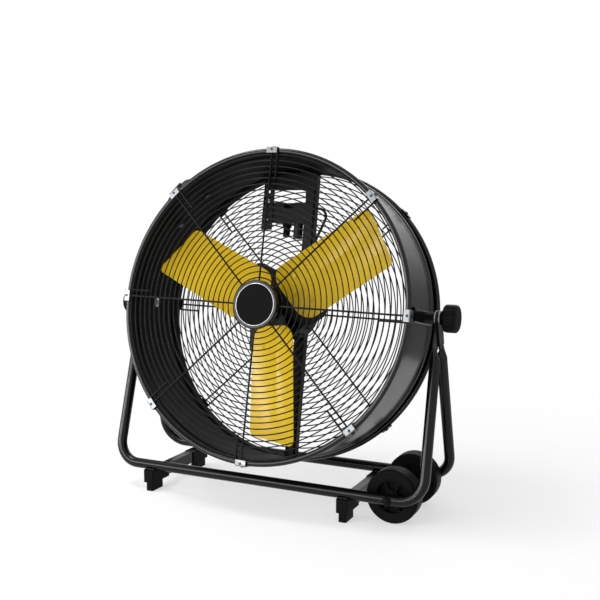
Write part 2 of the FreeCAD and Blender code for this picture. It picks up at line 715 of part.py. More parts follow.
def motor_rear_bell():
    """Rear end bell: closed at the back, with a hole in its side for the lead."""
    bell = motor_bell(MOTOR_BACK, -1)
    plug = cylinder(BEARING_R + BELL_WALL, Y_AXIS * (MOTOR_BACK - BELL_WALL), Y_AXIS * MOTOR_BACK)
    entry = lead_points()[-1]
    drill = cylinder(LEAD_R + SEAT_GAP, entry, entry + Z_AXIS * MOTOR_R)
    return fused([bell, plug]).cut(drill)


def motor_can():
    """Finned stator housing between the bells."""
    can = tube(MOTOR_R, MOTOR_R - CAN_WALL, Y_AXIS * (CAN_FRONT + SEAT_GAP), Y_AXIS * (CAN_BACK - SEAT_GAP))
    half = FIN_WIDTH / 2
    low = Vector(MOTOR_R - CAN_WALL / 2, CAN_FRONT + FIN_HEIGHT, -half)
    fin = block(low, Vector(MOTOR_R + FIN_HEIGHT, CAN_BACK - FIN_HEIGHT, half))
    return fused([can] + [about_y(fin, 360 / FIN_COUNT * i) for i in range(FIN_COUNT)])


def core_ends():
    """Front and back of the iron cores, in the middle of the can."""
    middle = (CAN_FRONT + CAN_BACK) / 2
    return Y_AXIS * (middle - CORE_LENGTH / 2), Y_AXIS * (middle + CORE_LENGTH / 2)


def stator_core():
    """Ring of iron held in the can by lugs between the through bolts."""
    front, back = core_ends()
    ring = tube(STATOR_R, ROTOR_CORE_R + AIR_GAP, front, back)
    half = MOTOR_BOLT_X / 2
    seat = cylinder(MOTOR_R - CAN_WALL - SEAT_GAP, front, back)
    lugs = block(Vector(-MOTOR_R, front.y, -half), Vector(MOTOR_R, back.y, half)).common(seat)
    middle = (STATOR_R + ROTOR_CORE_R) / 2
    bore = cylinder(middle, front - Y_AXIS * OVERRUN, back + Y_AXIS * OVERRUN)
    return fused([ring, lugs.cut(bore)])


def rotor_core():
    """Iron drum on the shaft."""
    front, back = core_ends()
    return tube(ROTOR_CORE_R, SHAFT_R + SEAT_GAP, front, back)


def motor_bearing(face, inward):
    """Ball bearing pressed in an end bell."""
    near = face + inward * (BELL_WALL + SEAT_GAP)
    far = near + inward * (BEARING_WIDTH - 2 * SEAT_GAP)
    return tube(BEARING_R, SHAFT_R + RUN_GAP, Y_AXIS * near, Y_AXIS * far)


def motor_bolts():
    """Through bolts: heads on the front bell, nuts on the rear bell or on the motor bar's web."""
    bolts = []
    for x, z in motor_bolt_places():
        head = Vector(x, MOTOR_FRONT - SEAT_GAP, z)
        stack = BAR_FRONT + BAR_SHEET if x > 0 else MOTOR_BACK
        tail = Vector(x, stack + SEAT_GAP, z)
        bolts.append(fused([cylinder(MOTOR_BOLT_HEAD_R, head - Y_AXIS * MOTOR_BOLT_HEAD, head),
                            cylinder(MOTOR_BOLT_R, head, tail),
                            cylinder(MOTOR_BOLT_HEAD_R, tail, tail + Y_AXIS * MOTOR_BOLT_HEAD)]))
    return Part.Compound(bolts)


def bar_middle():
    """The motor bar stands on the right-hand bolts."""
    return MOTOR_BOLT_X


def bar_screw_y():
    """Where the bar's end tabs are screwed to the shell."""
    return BAR_FRONT + BAR_DEPTH / 2 + BAR_SHEET / 2


def inside_shell():
    """The space inside the drum, for pieces that end on the shell."""
    return cylinder(DRUM_R - SEAT_GAP, Y_AXIS * -DRUM_HALF, Y_AXIS * DRUM_HALF)


def motor_bar():
    """Channel with its web towards the motor, its ends shaped to the shell and closed by screw tabs."""
    half = BAR_WIDTH / 2 - BAR_SHEET / 2
    flange = BAR_DEPTH - BAR_SHEET / 2 - BAR_BEND
    web = 2 * (half - BAR_BEND)
    start = (bar_middle() - half, BAR_BACK)
    face = bent_sheet(lambda x, y: Vector(x, y, -DRUM_R), start, -90,
                      [(flange,), (BAR_BEND, 90), (web,), (BAR_BEND, 90), (flange,)], BAR_SHEET)
    channel = face.extrude(Z_AXIS * 2 * DRUM_R)
    tabs = []
    for side in (-1, 1):
        low, high = sorted((side * DRUM_R, side * (DRUM_R - BAR_SHEET - 2 * SEAT_GAP)))
        tabs.append(block(Vector(bar_middle() - half, BAR_FRONT + BAR_SHEET / 2, low),
                          Vector(bar_middle() + half, BAR_BACK - SEAT_GAP, high)))
    bar = fused([channel] + tabs).common(inside_shell())
    drills = [motor_bolt_holes()]
    for side in (-1, 1):
        at = Vector(bar_middle(), bar_screw_y(), side * (DRUM_R - BAR_TAB))
        drills.append(cylinder(BAR_SCREW_R + SEAT_GAP, at, at + Z_AXIS * side * (BAR_TAB + OVERRUN)))
    ahead, _, _, _ = lead_points()
    drills.append(cylinder(LEAD_R + LEAD_HOLE_GAP, ahead, ahead + X_AXIS * BAR_WIDTH * 2))
    drills.append(box_screw_drill(bar_middle()))
    return bar.cut(Part.Compound(drills))


def bar_screws():
    """Screws through the shell into the bar's end tabs."""
    screws = []
    for side in (-1, 1):
        at = Vector(bar_middle(), bar_screw_y(), side * (DRUM_OUTER_R + SEAT_GAP))
        up = Z_AXIS * side
        screws.append(fused([dome(HANDLE_SCREW_HEAD_R, HANDLE_SCREW_HEAD, at, up),
                             cylinder(BAR_SCREW_R, at - up * (DRUM_SHEET + BAR_SHEET * 2), at)]))
    return Part.Compound(screws)


def box_screw_z():
    """Height of the two screws that hold the switch box."""
    return BOX_LOW + BOX_SCREW_RISE


def box_screw_drill(x):
    """Drill for one of the switch box's screws."""
    at = Vector(x, STRAP_FRONT - OVERRUN, box_screw_z())
    return cylinder(BOX_SCREW_R + SEAT_GAP, at, Vector(x, BAR_FRONT + BAR_SHEET + OVERRUN, box_screw_z()))


def box_strap():
    """Flat slotted strap hanging from the shell, which carries the left of the switch box."""
    half = STRAP_WIDTH / 2
    strap = block(Vector(STRAP_X - half, STRAP_FRONT, STRAP_LOW),
                  Vector(STRAP_X + half, STRAP_FRONT + STRAP_SHEET, DRUM_R)).common(inside_shell())
    slots = [box_screw_drill(STRAP_X)]
    half = STRAP_SLOT / 2
    for z in (BOX_HIGH, BOX_HIGH + STRAP_WIDTH):
        slots.append(block(Vector(STRAP_X - half, STRAP_FRONT - OVERRUN, z - STRAP_SLOT),
                           Vector(STRAP_X + half, BOX_FRONT + OVERRUN, z + STRAP_SLOT)))
    return strap.cut(Part.Compound(slots))


def switch_box():
    """Folded box, open at the back, on a front plate that reaches the strap and the motor bar."""
    plate = block(Vector(STRAP_X - STRAP_WIDTH / 2 + OVERRUN / 2, BOX_FRONT, BOX_LOW),
                  Vector(bar_middle() + BAR_WIDTH / 2 - BAR_SHEET, BOX_FRONT + BOX_SHEET, BOX_HIGH))
    low = Vector(BOX_LEFT, BOX_FRONT, BOX_LOW)
    high = Vector(BOX_RIGHT, BAR_BACK - BOX_SHEET, BOX_HIGH)
    wall = Vector(BOX_SHEET, BOX_SHEET, BOX_SHEET)
    hollow = block(low + wall, Vector(high.x - BOX_SHEET, high.y + OVERRUN, high.z - BOX_SHEET))
    middle = (BOX_LEFT + BOX_RIGHT) / 2
    half = BOX_NOTCH_WIDTH / 2
    notch = block(Vector(middle - half, BOX_FRONT - OVERRUN, BOX_HIGH - BOX_NOTCH_DROP),
                  Vector(middle + half, BOX_FRONT + BOX_SHEET + OVERRUN, BOX_HIGH + OVERRUN))
    start, _, _, _ = lead_points()
    drills = [notch, box_screw_drill(STRAP_X), box_screw_drill(bar_middle()),
              cylinder(LEAD_R + SEAT_GAP, start - X_AXIS * OVERRUN, start + X_AXIS * OVERRUN)]
    for x, radius in ((CAPACITOR_X, BOX_SCREW_R), (GLAND_X, GLAND_R)):
        at = Vector(x, box_middle_y(), BOX_LOW - OVERRUN)
        drills.append(cylinder(radius + SEAT_GAP, at, at + Z_AXIS * (OVERRUN * 2)))
    return fused([plate, block(low, high)]).cut(hollow).cut(Part.Compound(drills))


def box_middle_y():
    """Middle of the switch box from front to back."""
    return (BOX_FRONT + BAR_BACK) / 2


def box_cover():
    """Back plate of the switch box, bored for the switch's shaft."""
    front = BAR_BACK - BOX_SHEET + SEAT_GAP
    plate = block(Vector(BOX_LEFT, front, BOX_LOW), Vector(BOX_RIGHT, front + BOX_SHEET, BOX_HIGH))
    at = Vector(SWITCH_X, front - OVERRUN, SWITCH_Z)
    return plate.cut(cylinder(SWITCH_SHAFT_R + MOVE_GAP, at, at + Y_AXIS * OVERRUN * 2))


def rotary_switch():
    """Switch block fixed to the inside of the cover."""
    back = BAR_BACK - BOX_SHEET
    half = SWITCH_BLOCK / 2
    body = block(Vector(SWITCH_X - half, back - SWITCH_BLOCK_DEPTH, SWITCH_Z - half),
                 Vector(SWITCH_X + half, back, SWITCH_Z + half))
    at = Vector(SWITCH_X, back - SWITCH_BLOCK_DEPTH / 2, SWITCH_Z)
    return body.cut(cylinder(SWITCH_SHAFT_R + RUN_GAP, at, at + Y_AXIS * OVERRUN * 2))


def switch_shaft():
    """Spindle from the switch, out between two guard rings, to the knob."""
    front = BAR_BACK - BOX_SHEET - SWITCH_BLOCK_DEPTH / 2 + MOVE_GAP
    return cylinder(SWITCH_SHAFT_R, Vector(SWITCH_X, front, SWITCH_Z),
                    Vector(SWITCH_X, KNOB_FRONT + KNOB_SKIRT - SEAT_GAP, SWITCH_Z))


def speed_knob():
    """Round skirt with a raised grip bar and a bore for the spindle."""
    front = Vector(SWITCH_X, KNOB_FRONT, SWITCH_Z)
    skirt = cylinder(KNOB_R, front, front + Y_AXIS * KNOB_SKIRT)
    half = KNOB_GRIP / 2
    grip = block(front + Vector(-half, KNOB_SKIRT / 2, -KNOB_R), front + Vector(half, KNOB_LENGTH, KNOB_R))
    grip = grip.common(cylinder(KNOB_R, front, front + Y_AXIS * KNOB_LENGTH))
    bore = cylinder(SWITCH_SHAFT_R + SEAT_GAP, front - Y_AXIS * OVERRUN, front + Y_AXIS * KNOB_SKIRT)
    return fused([skirt, grip]).cut(bore)


def run_capacitor():
    """Can hung under the switch box by its stud."""
    top = Vector(CAPACITOR_X, box_middle_y(), BOX_LOW - SEAT_GAP)
    can = cylinder(min(CAPACITOR_R, BAR_DEPTH / 2), top - Z_AXIS * CAPACITOR_LENGTH, top)
    return fused([can, cylinder(BOX_SCREW_R, top, top + Z_AXIS * (BOX_SHEET + OVERRUN))])


def cord_gland():
    """Cord inlet under the switch box: a bored sleeve with a collar."""
    top = Vector(GLAND_X, box_middle_y(), BOX_LOW - SEAT_GAP)
    sleeve = cylinder(GLAND_R, top - Z_AXIS * GLAND_LENGTH, top + Z_AXIS * (BOX_SHEET + SEAT_GAP))
    collar = cylinder(min(GLAND_NUT_R, BAR_DEPTH / 2), top - Z_AXIS * GLAND_NUT, top)
    bore = cylinder(GLAND_BORE_R, top - Z_AXIS * (GLAND_LENGTH + OVERRUN), top + Z_AXIS * OVERRUN)
    return fused([sleeve, collar]).cut(bore)


def lead_points():
    """Corners of the lead's route: out of the box, through the bar, down its side and into the motor."""
    y = bar_screw_y()
    entry_y = MOTOR_BACK - BELL_LENGTH / 2
    height = BOX_HIGH - LEAD_DROP
    start = Vector(BOX_RIGHT - BOX_SHEET, y, height)
    out = Vector(LEAD_OUT, y, height)
    fall = Vector(LEAD_ENTRY_X, entry_y, height - LEAD_FALL)
    entry = Vector(LEAD_ENTRY_X, entry_y, math.sqrt(MOTOR_R ** 2 - LEAD_ENTRY_X ** 2) - LEAD_SINK)
    return start, out, fall, entry


def motor_lead():
    """Round lead from the switch box to the motor."""
    return bent_rod(list(lead_points()), LEAD_BEND, LEAD_R)


def handle_frame():
    """Middle of the handle's seat on the shell, its outward direction and its direction round the drum."""
    up = radial(HANDLE_ANGLE, 1, 0)
    across = radial(HANDLE_ANGLE + 90, 1, 0)
    return up * DRUM_OUTER_R + Y_AXIS * HANDLE_Y, up, across


def handle_feet():
    """Where the handle's legs meet the shell."""
    seat, up, across = handle_frame()
    drop = DRUM_OUTER_R - math.sqrt(DRUM_OUTER_R ** 2 - HANDLE_HALF ** 2)
    return [(seat + across * HANDLE_HALF * side - up * drop, up) for side in (-1, 1)]


def handle_bow():
    """Bent rod with a flange on each foot, shaped to the shell."""
    seat, up, across = handle_frame()
    left, right = [foot for foot, _ in handle_feet()]
    crown = [seat + across * HANDLE_HALF * side + up * HANDLE_RISE for side in (-1, 1)]
    below = up * OVERRUN
    rod = bent_rod([left - below, crown[0], crown[1], right - below], HANDLE_BEND, HANDLE_ROD_R)
    flanges = [cylinder(HANDLE_FLANGE_R, foot - below, foot + up * HANDLE_FLANGE) for foot in (left, right)]
    drum = cylinder(DRUM_OUTER_R + SEAT_GAP, Y_AXIS * -DRUM_HALF, Y_AXIS * DRUM_HALF)
    drills = [cylinder(HANDLE_SCREW_R + SEAT_GAP, foot - below, foot + up * HANDLE_SCREW_LENGTH)
              for foot in (left, right)]
    return fused([rod] + flanges).cut(drum).cut(Part.Compound(drills))


def handle_grip():
    """Moulded sleeve on the handle's crown."""
    seat, up, across = handle_frame()
    middle = seat + up * HANDLE_RISE
    ends = [middle + across * GRIP_LENGTH / 2 * side for side in (-1, 1)]
    sleeve = tube(GRIP_R, HANDLE_ROD_R + SEAT_GAP, ends[0], ends[1])
    rims = [e for e in sleeve.Edges if abs(e.Length - 2 * math.pi * GRIP_R) < SEAT_GAP]
    return sleeve.makeFillet(GRIP_ROUND, rims)


def handle_screws():
    """Screws from inside the drum into the handle's legs."""
    screws = []
    for foot, up in handle_feet():
        head = foot - up * (DRUM_SHEET + HANDLE_SCREW_HEAD)
        reach = HANDLE_SCREW_LENGTH - MOVE_GAP
        button = cylinder(HANDLE_SCREW_HEAD_R, head - up * HANDLE_SCREW_HEAD, head + up * HANDLE_SCREW_HEAD)
        shank = cylinder(HANDLE_SCREW_R, head, foot + up * reach)
        screws.append(fused([button.common(inside_shell()), shank]))
    return Part.Compound(screws)


def pivot_plate(hand):
    """Channel on the side of the drum that the pivot bolt goes through."""
    half = PIVOT_PLATE_HEIGHT / 2 - PIVOT_PLATE_SHEET / 2
    flange = PLATE_FACE - DRUM_R - PIVOT_PLATE_SHEET / 2 - PIVOT_PLATE_BEND
    web = 2 * (half - PIVOT_PLATE_BEND)
    face = bent_sheet(lambda x, z: Vector(x, PIVOT_PLATE_FRONT, z), (DRUM_R, -half), 0,
                      [(flange,), (PIVOT_PLATE_BEND, 90), (web,), (PIVOT_PLATE_BEND, 90), (flange,)],
                      PIVOT_PLATE_SHEET)
    channel = face.extrude(Y_AXIS * (PIVOT_PLATE_BACK - PIVOT_PLATE_FRONT))
    drum = cylinder(DRUM_OUTER_R + SEAT_GAP, Y_AXIS * -DRUM_HALF, Y_AXIS * DRUM_HALF)
    hole = cylinder(PIVOT_BOLT_R + SEAT_GAP, X_AXIS * DRUM_R, X_AXIS * (PLATE_FACE + OVERRUN))
    return handed(channel.cut(drum).cut(hole), hand)


def handed(shape, hand):
    """The same piece on the right (1) or mirrored to the left (-1)."""
    return shape if hand > 0 else shape.mirror(ORIGIN, X_AXIS)


def both_hands(shape):
    """A right-hand piece together with its mirror image."""
    return Part.Compound([shape, handed(shape, -1)])


def pivot_spacers():
    """Sleeves between the plates and the stand."""
    start = X_AXIS * (PLATE_FACE + SEAT_GAP)
    return both_hands(tube(SPACER_R, PIVOT_BOLT_R + SEAT_GAP, start, X_AXIS * SPACER_END))


def pivot_bolts():
    """Carriage bolts from inside the drum, through plate, spacer and stand, into the clamp knobs."""
    seat = math.sqrt(DRUM_R ** 2 - PIVOT_HEAD_R ** 2) - SEAT_GAP
    head = dome(PIVOT_HEAD_R, PIVOT_HEAD, X_AXIS * seat, -X_AXIS)
    return both_hands(fused([head, cylinder(PIVOT_BOLT_R, X_AXIS * seat, X_AXIS * PIVOT_BOLT_END)]))


def pivot_washers(face, thickness):
    """Flat washers on the pivots, with room for the bolts to turn."""
    return both_hands(tube(WASHER_R, PIVOT_BOLT_R + RUN_GAP, X_AXIS * face, X_AXIS * (face + thickness)))


def clamp_knob(hand):
    """Round knob with a scalloped edge, a boss towards the stand and a blind bore."""
    corners = [(0, CLAMP_INNER, 0), (CLAMP_BOSS_R, CLAMP_INNER, 0), (CLAMP_BOSS_R, CLAMP_SHOULDER, 0),
               (CLAMP_R, CLAMP_SHOULDER, CLAMP_ROUND), (CLAMP_R, CLAMP_FACE, CLAMP_ROUND), (0, CLAMP_FACE, 0)]
    knob = Part.Face(outline(lambda r, x: Vector(x, 0, r), corners)).revolve(ORIGIN, X_AXIS, 360)
    away = CLAMP_R + CLAMP_SCALLOP_R - CLAMP_SCALLOP_DEPTH
    mouth, end = CLAMP_INNER - OVERRUN, PIVOT_BOLT_END + MOVE_GAP
    cuts = [cylinder(PIVOT_BOLT_R + RUN_GAP, X_AXIS * mouth, X_AXIS * end)]
    for i in range(CLAMP_LOBES):
        turn = 2 * math.pi * i / CLAMP_LOBES
        at = Vector(CLAMP_SHOULDER - OVERRUN, away * math.cos(turn), away * math.sin(turn))
        cuts.append(cylinder(CLAMP_SCALLOP_R, at, at + X_AXIS * (CLAMP_HEAD + OVERRUN * 2)))
    return handed(knob.cut(Part.Compound(cuts)), hand)


def flat_end(side, hand):
    """Flattened tube end at the pivot: the front tube's lies inside, the rear tube's outside."""
    along = Vector(0, side * TUBE_HALF_SPACING, TUBE_HEIGHT - PIVOT_HEIGHT).normalize()
    across = along.cross(X_AXIS)
    half = FLAT_WIDTH / 2
    top = Z_AXIS * PIVOT_HEIGHT
    foot = top + along * FLAT_LENGTH
    arc = Part.Arc(top + across * half, top - along * half, top - across * half).toShape()
    sides = [Part.LineSegment(p, q).toShape() for p, q in
             ((top - across * half, foot - across * half), (foot - across * half, foot + across * half),
              (foot + across * half, top + across * half))]
    face = INNER_FLAT if side < 0 else TOP_HALF_WIDTH
    plate = Part.Face(Part.Wire([arc] + sides)).extrude(X_AXIS * FLAT_SHEET).translated(X_AXIS * face)
    hole = Vector(face - OVERRUN, 0, PIVOT_HEIGHT)
    plate = plate.cut(cylinder(PIVOT_BOLT_R + RUN_GAP, hole, hole + X_AXIS * (FLAT_SHEET + 2 * OVERRUN)))
    middle = foot + X_AXIS * (face + FLAT_SHEET / 2)
    squashed = Part.Ellipse(ORIGIN, half, FLAT_SHEET / 2).toShape()
    squashed.Placement = FreeCAD.Placement(middle, FreeCAD.Rotation(across, X_AXIS, along, "ZXY"))
    end = tube_end(side)
    square = (end[1] - end[0]).normalize()
    round_end = Part.Circle(ORIGIN, Z_AXIS, TUBE_R).toShape()
    round_end.Placement = FreeCAD.Placement(end[0], FreeCAD.Rotation(across, X_AXIS, square, "ZXY"))
    taper = Part.makeLoft([Part.Wire(round_end), Part.Wire(squashed)], True, True)
    piece = fused([plate, taper])
    return handed(piece, hand)


def tube_end(side):
    """Right-hand end of the round tube, and the corner that its leg comes from."""
    corner = Vector(BASE_HALF_WIDTH, side * TUBE_HALF_SPACING, TUBE_HEIGHT)
    top = Vector(TOP_HALF_WIDTH, 0, PIVOT_HEIGHT)
    return top + (corner - top).normalize() * (FLAT_LENGTH + TAPER_LENGTH), corner


def frame_tube(side):
    """U-bent tube of the stand: floor run, two legs, flattened ends, drilled for the axle."""
    end, corner = tube_end(side)
    mirrored = [Vector(-p.x, p.y, p.z) for p in (end, corner)]
    points = [mirrored[0], mirrored[1], corner, end]
    pipe = bent_rod(points, TUBE_BEND, TUBE_R)
    bore = bent_rod(points, TUBE_BEND, TUBE_R - TUBE_WALL)
    at = Vector(WHEEL_X, side * (TUBE_HALF_SPACING - TUBE_R - OVERRUN), TUBE_HEIGHT)
    axle = cylinder(AXLE_R + SEAT_GAP, at, at + Y_AXIS * side * 2 * (TUBE_R + OVERRUN))
    return fused([pipe, flat_end(side, 1), flat_end(side, -1)]).cut(bore).cut(axle)


def tube_saddles(gap):
    """The floor runs of both tubes, to shape what they lie on."""
    runs = []
    for side in (-1, 1):
        at = Vector(-BASE_HALF_WIDTH, side * TUBE_HALF_SPACING, TUBE_HEIGHT)
        runs.append(cylinder(TUBE_R + gap, at, at + X_AXIS * 2 * BASE_HALF_WIDTH))
    return Part.Compound(runs)


def cross_bar(x):
    """Rectangular tube under the two floor runs, saddled to them."""
    half = CROSS_WIDTH / 2
    outside = block(Vector(x - half, -CROSS_END, CROSS_LOW), Vector(x + half, CROSS_END, CROSS_HIGH))
    inner = half - CROSS_WALL
    hollow = block(Vector(x - inner, -CROSS_END - OVERRUN, CROSS_LOW + CROSS_WALL),
                   Vector(x + inner, CROSS_END + OVERRUN, CROSS_HIGH - CROSS_WALL))
    return outside.cut(hollow).cut(tube_saddles(SEAT_GAP))


def foot(x, side):
    """Moulded shoe on the end of a cross bar, with a pad that stands on the floor."""
    half = FOOT_WIDTH / 2
    floor = CROSS_LOW - FOOT_WALL - SEAT_GAP
    back = FOOT_FRONT - FOOT_LENGTH
    corners = [(-half, back, 0), (half, back, 0),
               (half, FOOT_FRONT, FOOT_ROUND), (-half, FOOT_FRONT, FOOT_ROUND)]
    shoe = slab(lambda a, b: Vector(x + a, side * b, floor), corners, Z_AXIS * (CROSS_HIGH - floor))
    inner = CROSS_WIDTH / 2 + SEAT_GAP
    ends = sorted((side * (back - OVERRUN), side * (FOOT_FRONT - FOOT_WALL)))
    pocket = block(Vector(x - inner, ends[0], CROSS_LOW - SEAT_GAP),
                   Vector(x + inner, ends[1], CROSS_HIGH + OVERRUN))
    half = PAD_WIDTH / 2
    front = FOOT_FRONT - PAD_SETBACK
    corners = [(-half, front - PAD_LENGTH, PAD_ROUND), (half, front - PAD_LENGTH, PAD_ROUND),
               (half, front, PAD_ROUND), (-half, front, PAD_ROUND)]
    pad = slab(lambda a, b: Vector(x + a, side * b, 0), corners, Z_AXIS * (floor + FOOT_WALL / 2))
    return fused([shoe, pad]).cut(pocket).cut(tube_saddles(MOVE_GAP))


def wheel(side):
    """Moulded wheel: rounded tread, recessed faces, ribs and a bored boss."""
    half = WHEEL_WIDTH / 2
    bore = AXLE_R + RUN_GAP
    web, boss = half - RECESS, half - BOSS_RECESS
    corners = [(bore, -boss, 0), (WHEEL_BOSS_R, -boss, 0), (WHEEL_BOSS_R, -web, 0), (RIM_INNER_R, -web, 0),
               (RIM_INNER_R, -half, 0), (WHEEL_R, -half, WHEEL_ROUND), (WHEEL_R, half, WHEEL_ROUND),
               (RIM_INNER_R, half, 0), (RIM_INNER_R, web, 0), (WHEEL_BOSS_R, web, 0), (WHEEL_BOSS_R, boss, 0),
               (bore, boss, 0)]
    body = Part.Face(outline(lambda r, y: Vector(r, y, 0), corners)).revolve(ORIGIN, Y_AXIS, 360)
    rib_half = RIB_WIDTH / 2
    rib_face = half - RIB_RECESS
    rib = block(Vector(WHEEL_BOSS_R - rib_half, -rib_face, -rib_half),
                Vector(RIM_INNER_R + rib_half, rib_face, rib_half))
    ribs = [about_y(rib, 360 / RIB_COUNT * i) for i in range(RIB_COUNT)]
    return fused([body] + ribs).translated(Vector(WHEEL_X, side * WHEEL_Y, TUBE_HEIGHT))


def axle_end():
    """How far the axle reaches past the tubes, into its caps."""
    return TUBE_HALF_SPACING + TUBE_R + AXLE_CAP / 2


def wheel_axle():
    """Rod through both floor runs and both wheels."""
    ends = [Vector(WHEEL_X, side * axle_end(), TUBE_HEIGHT) for side in (-1, 1)]
    return cylinder(AXLE_R, ends[0], ends[1])


def axle_caps():
    """Push-on caps on the axle's ends, against the tubes."""
    caps = []
    for side in (-1, 1):
        at = Vector(WHEEL_X, side * (TUBE_HALF_SPACING + TUBE_R + SEAT_GAP), TUBE_HEIGHT)
        end = Vector(WHEEL_X, side * (axle_end() + SEAT_GAP), TUBE_HEIGHT)
        bore = cylinder(AXLE_R + SEAT_GAP, at - Y_AXIS * side * OVERRUN, end)
        caps.append(dome(AXLE_CAP_R, AXLE_CAP, at, Y_AXIS * side).cut(bore))
    return Part.Compound(caps)


def axle_collars():
    """Collars on the axle that keep the wheels by the tubes."""
    collars = []
    for side in (-1, 1):
        face = WHEEL_Y - WHEEL_WIDTH / 2 + BOSS_RECESS - MOVE_GAP
        far = Vector(WHEEL_X, side * face, TUBE_HEIGHT)
        collars.append(tube(COLLAR_R, AXLE_R + SEAT_GAP, far - Y_AXIS * side * COLLAR, far))
    return Part.Compound(collars)


def stand_nodes():
    """Pieces that stand on the floor."""
    nodes = {}
    for side, place in ((-1, "front"), (1, "rear")):
        nodes[place + "_frame_tube"] = frame_tube(side)
        nodes[place + "_wheel"] = wheel(side)
    for x, hand in ((LEFT_CROSS_X, "left"), (RIGHT_CROSS_X, "right")):
        nodes[hand + "_cross_bar"] = cross_bar(x)
        for side, place in ((-1, "front"), (1, "rear")):
            nodes[f"{place}_{hand}_foot"] = foot(x, side)
    nodes["wheel_axle"] = wheel_axle()
    nodes["axle_caps"] = axle_caps()
    nodes["axle_collars"] = axle_collars()
    lift = Z_AXIS * PIVOT_HEIGHT
    nodes["nylon_washers"] = pivot_washers(NYLON_FACE, NYLON_WASHER).translated(lift)
    nodes["steel_washers"] = pivot_washers(STEEL_FACE, STEEL_WASHER).translated(lift)
    return nodes


def drum_nodes():
    """Pieces that tip with the drum, in the drum's own frame."""
    nodes = {"drum_shell": drum_shell()}
    for side, place in ((-1, "front"), (1, "rear")):
        nodes[place + "_guard"] = guard(side)
        nodes[place + "_guard_clips"] = guard_clips(side)
        nodes[place + "_clip_screws"] = clip_screws(side)
    nodes["badge_bezel"] = badge_bezel()
    nodes["badge_plate"] = badge_plate()
    for i, piece in enumerate(blades()):
        nodes[f"fan_blade_{i + 1}"] = piece
    nodes["hub_spider"] = hub_spider()
    nodes["blade_rivets"] = blade_rivets()
    nodes["hub_nut"] = hub_nut()
    nodes["motor_shaft"] = motor_shaft()
    nodes["motor_front_bell"] = motor_front_bell()
    nodes["motor_rear_bell"] = motor_rear_bell()
    nodes["motor_can"] = motor_can()
    nodes["stator_core"] = stator_core()
    nodes["rotor_core"] = rotor_core()
    nodes["front_bearing"] = motor_bearing(MOTOR_FRONT, 1)
    nodes["rear_bearing"] = motor_bearing(MOTOR_BACK, -1)
    nodes["motor_bolts"] = motor_bolts()
    nodes["motor_bar"] = motor_bar()
    nodes["bar_screws"] = bar_screws()
    nodes["box_strap"] = box_strap()
    nodes["switch_box"] = switch_box()
    nodes["box_cover"] = box_cover()
    nodes["rotary_switch"] = rotary_switch()
    nodes["switch_shaft"] = switch_shaft()
    nodes["speed_knob"] = speed_knob()
    nodes["run_capacitor"] = run_capacitor()
    nodes["cord_gland"] = cord_gland()
    nodes["motor_lead"] = motor_lead()
    nodes["handle_bow"] = handle_bow()
    nodes["handle_grip"] = handle_grip()
    nodes["handle_screws"] = handle_screws()
    nodes["pivot_spacers"] = pivot_spacers()
    nodes["pivot_bolts"] = pivot_bolts()
    for hand, place in ((-1, "left"), (1, "right")):
        nodes[place + "_pivot_plate"] = pivot_plate(hand)
        nodes[place + "_clamp_knob"] = clamp_knob(hand)
    return nodes


os.makedirs("parts", exist_ok=True)
nodes = stand_nodes()
nodes.update({name: on_drum(shape) for name, shape in drum_nodes().items()})
for name, shape in nodes.items():
    shape.exportStep(f"parts/{name}.step")
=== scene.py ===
import json
import math

import bpy
from mathutils import Matrix, Vector


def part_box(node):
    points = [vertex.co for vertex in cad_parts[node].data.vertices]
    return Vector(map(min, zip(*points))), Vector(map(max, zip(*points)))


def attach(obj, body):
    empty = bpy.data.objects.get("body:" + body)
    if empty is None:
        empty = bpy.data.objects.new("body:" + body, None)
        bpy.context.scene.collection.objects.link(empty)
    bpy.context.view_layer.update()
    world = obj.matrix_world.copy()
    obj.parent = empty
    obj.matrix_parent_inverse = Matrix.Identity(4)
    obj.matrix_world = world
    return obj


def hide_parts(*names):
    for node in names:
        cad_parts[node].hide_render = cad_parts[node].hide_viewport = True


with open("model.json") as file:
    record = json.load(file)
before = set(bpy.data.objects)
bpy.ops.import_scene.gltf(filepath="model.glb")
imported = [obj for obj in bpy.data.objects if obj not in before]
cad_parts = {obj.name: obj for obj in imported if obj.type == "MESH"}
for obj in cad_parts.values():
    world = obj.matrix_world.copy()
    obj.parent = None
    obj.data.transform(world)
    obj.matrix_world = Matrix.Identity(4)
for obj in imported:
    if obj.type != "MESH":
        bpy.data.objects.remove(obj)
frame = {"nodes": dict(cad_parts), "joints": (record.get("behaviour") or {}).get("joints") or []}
nodes = frame["nodes"]
joints = {joint["name"]: joint for joint in frame["joints"]}
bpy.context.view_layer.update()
scene = bpy.context.scene
scene.view_settings.view_transform = "Standard"


# Camera. A short telephoto stands to the fan's front right, a little above the middle of its drum,
# and looks slightly down, as the photograph does.
view_direction = Vector((-0.426, 0.8985, -0.1062))
camera = bpy.data.objects.new("photo_camera", bpy.data.cameras.new("photo_camera"))
camera.data.lens = 53.14
camera.data.sensor_width = 36.0
camera.location = (0.8572, -1.7041, 0.6333)
camera.rotation_mode = "QUATERNION"
camera.rotation_quaternion = view_direction.to_track_quat("-Z", "Y")
scene.collection.objects.link(camera)
scene.camera = camera


# Studio. White paper lies on the floor and keeps a soft shadow round the fan; farther out it is as white as
# the surround. A wide softbox stands at the front left, a small one hangs above and one stands behind; two
# narrow strips near the floor, in front and at the left, draw glints on the blades.
def linear(hex_colour):
    """Linear colour of an sRGB hex value."""
    parts = [int(hex_colour[i:i + 2], 16) / 255 for i in (1, 3, 5)]
    return [c / 12.92 if c <= 0.04045 else ((c + 0.055) / 1.055) ** 2.4 for c in parts] + [1.0]


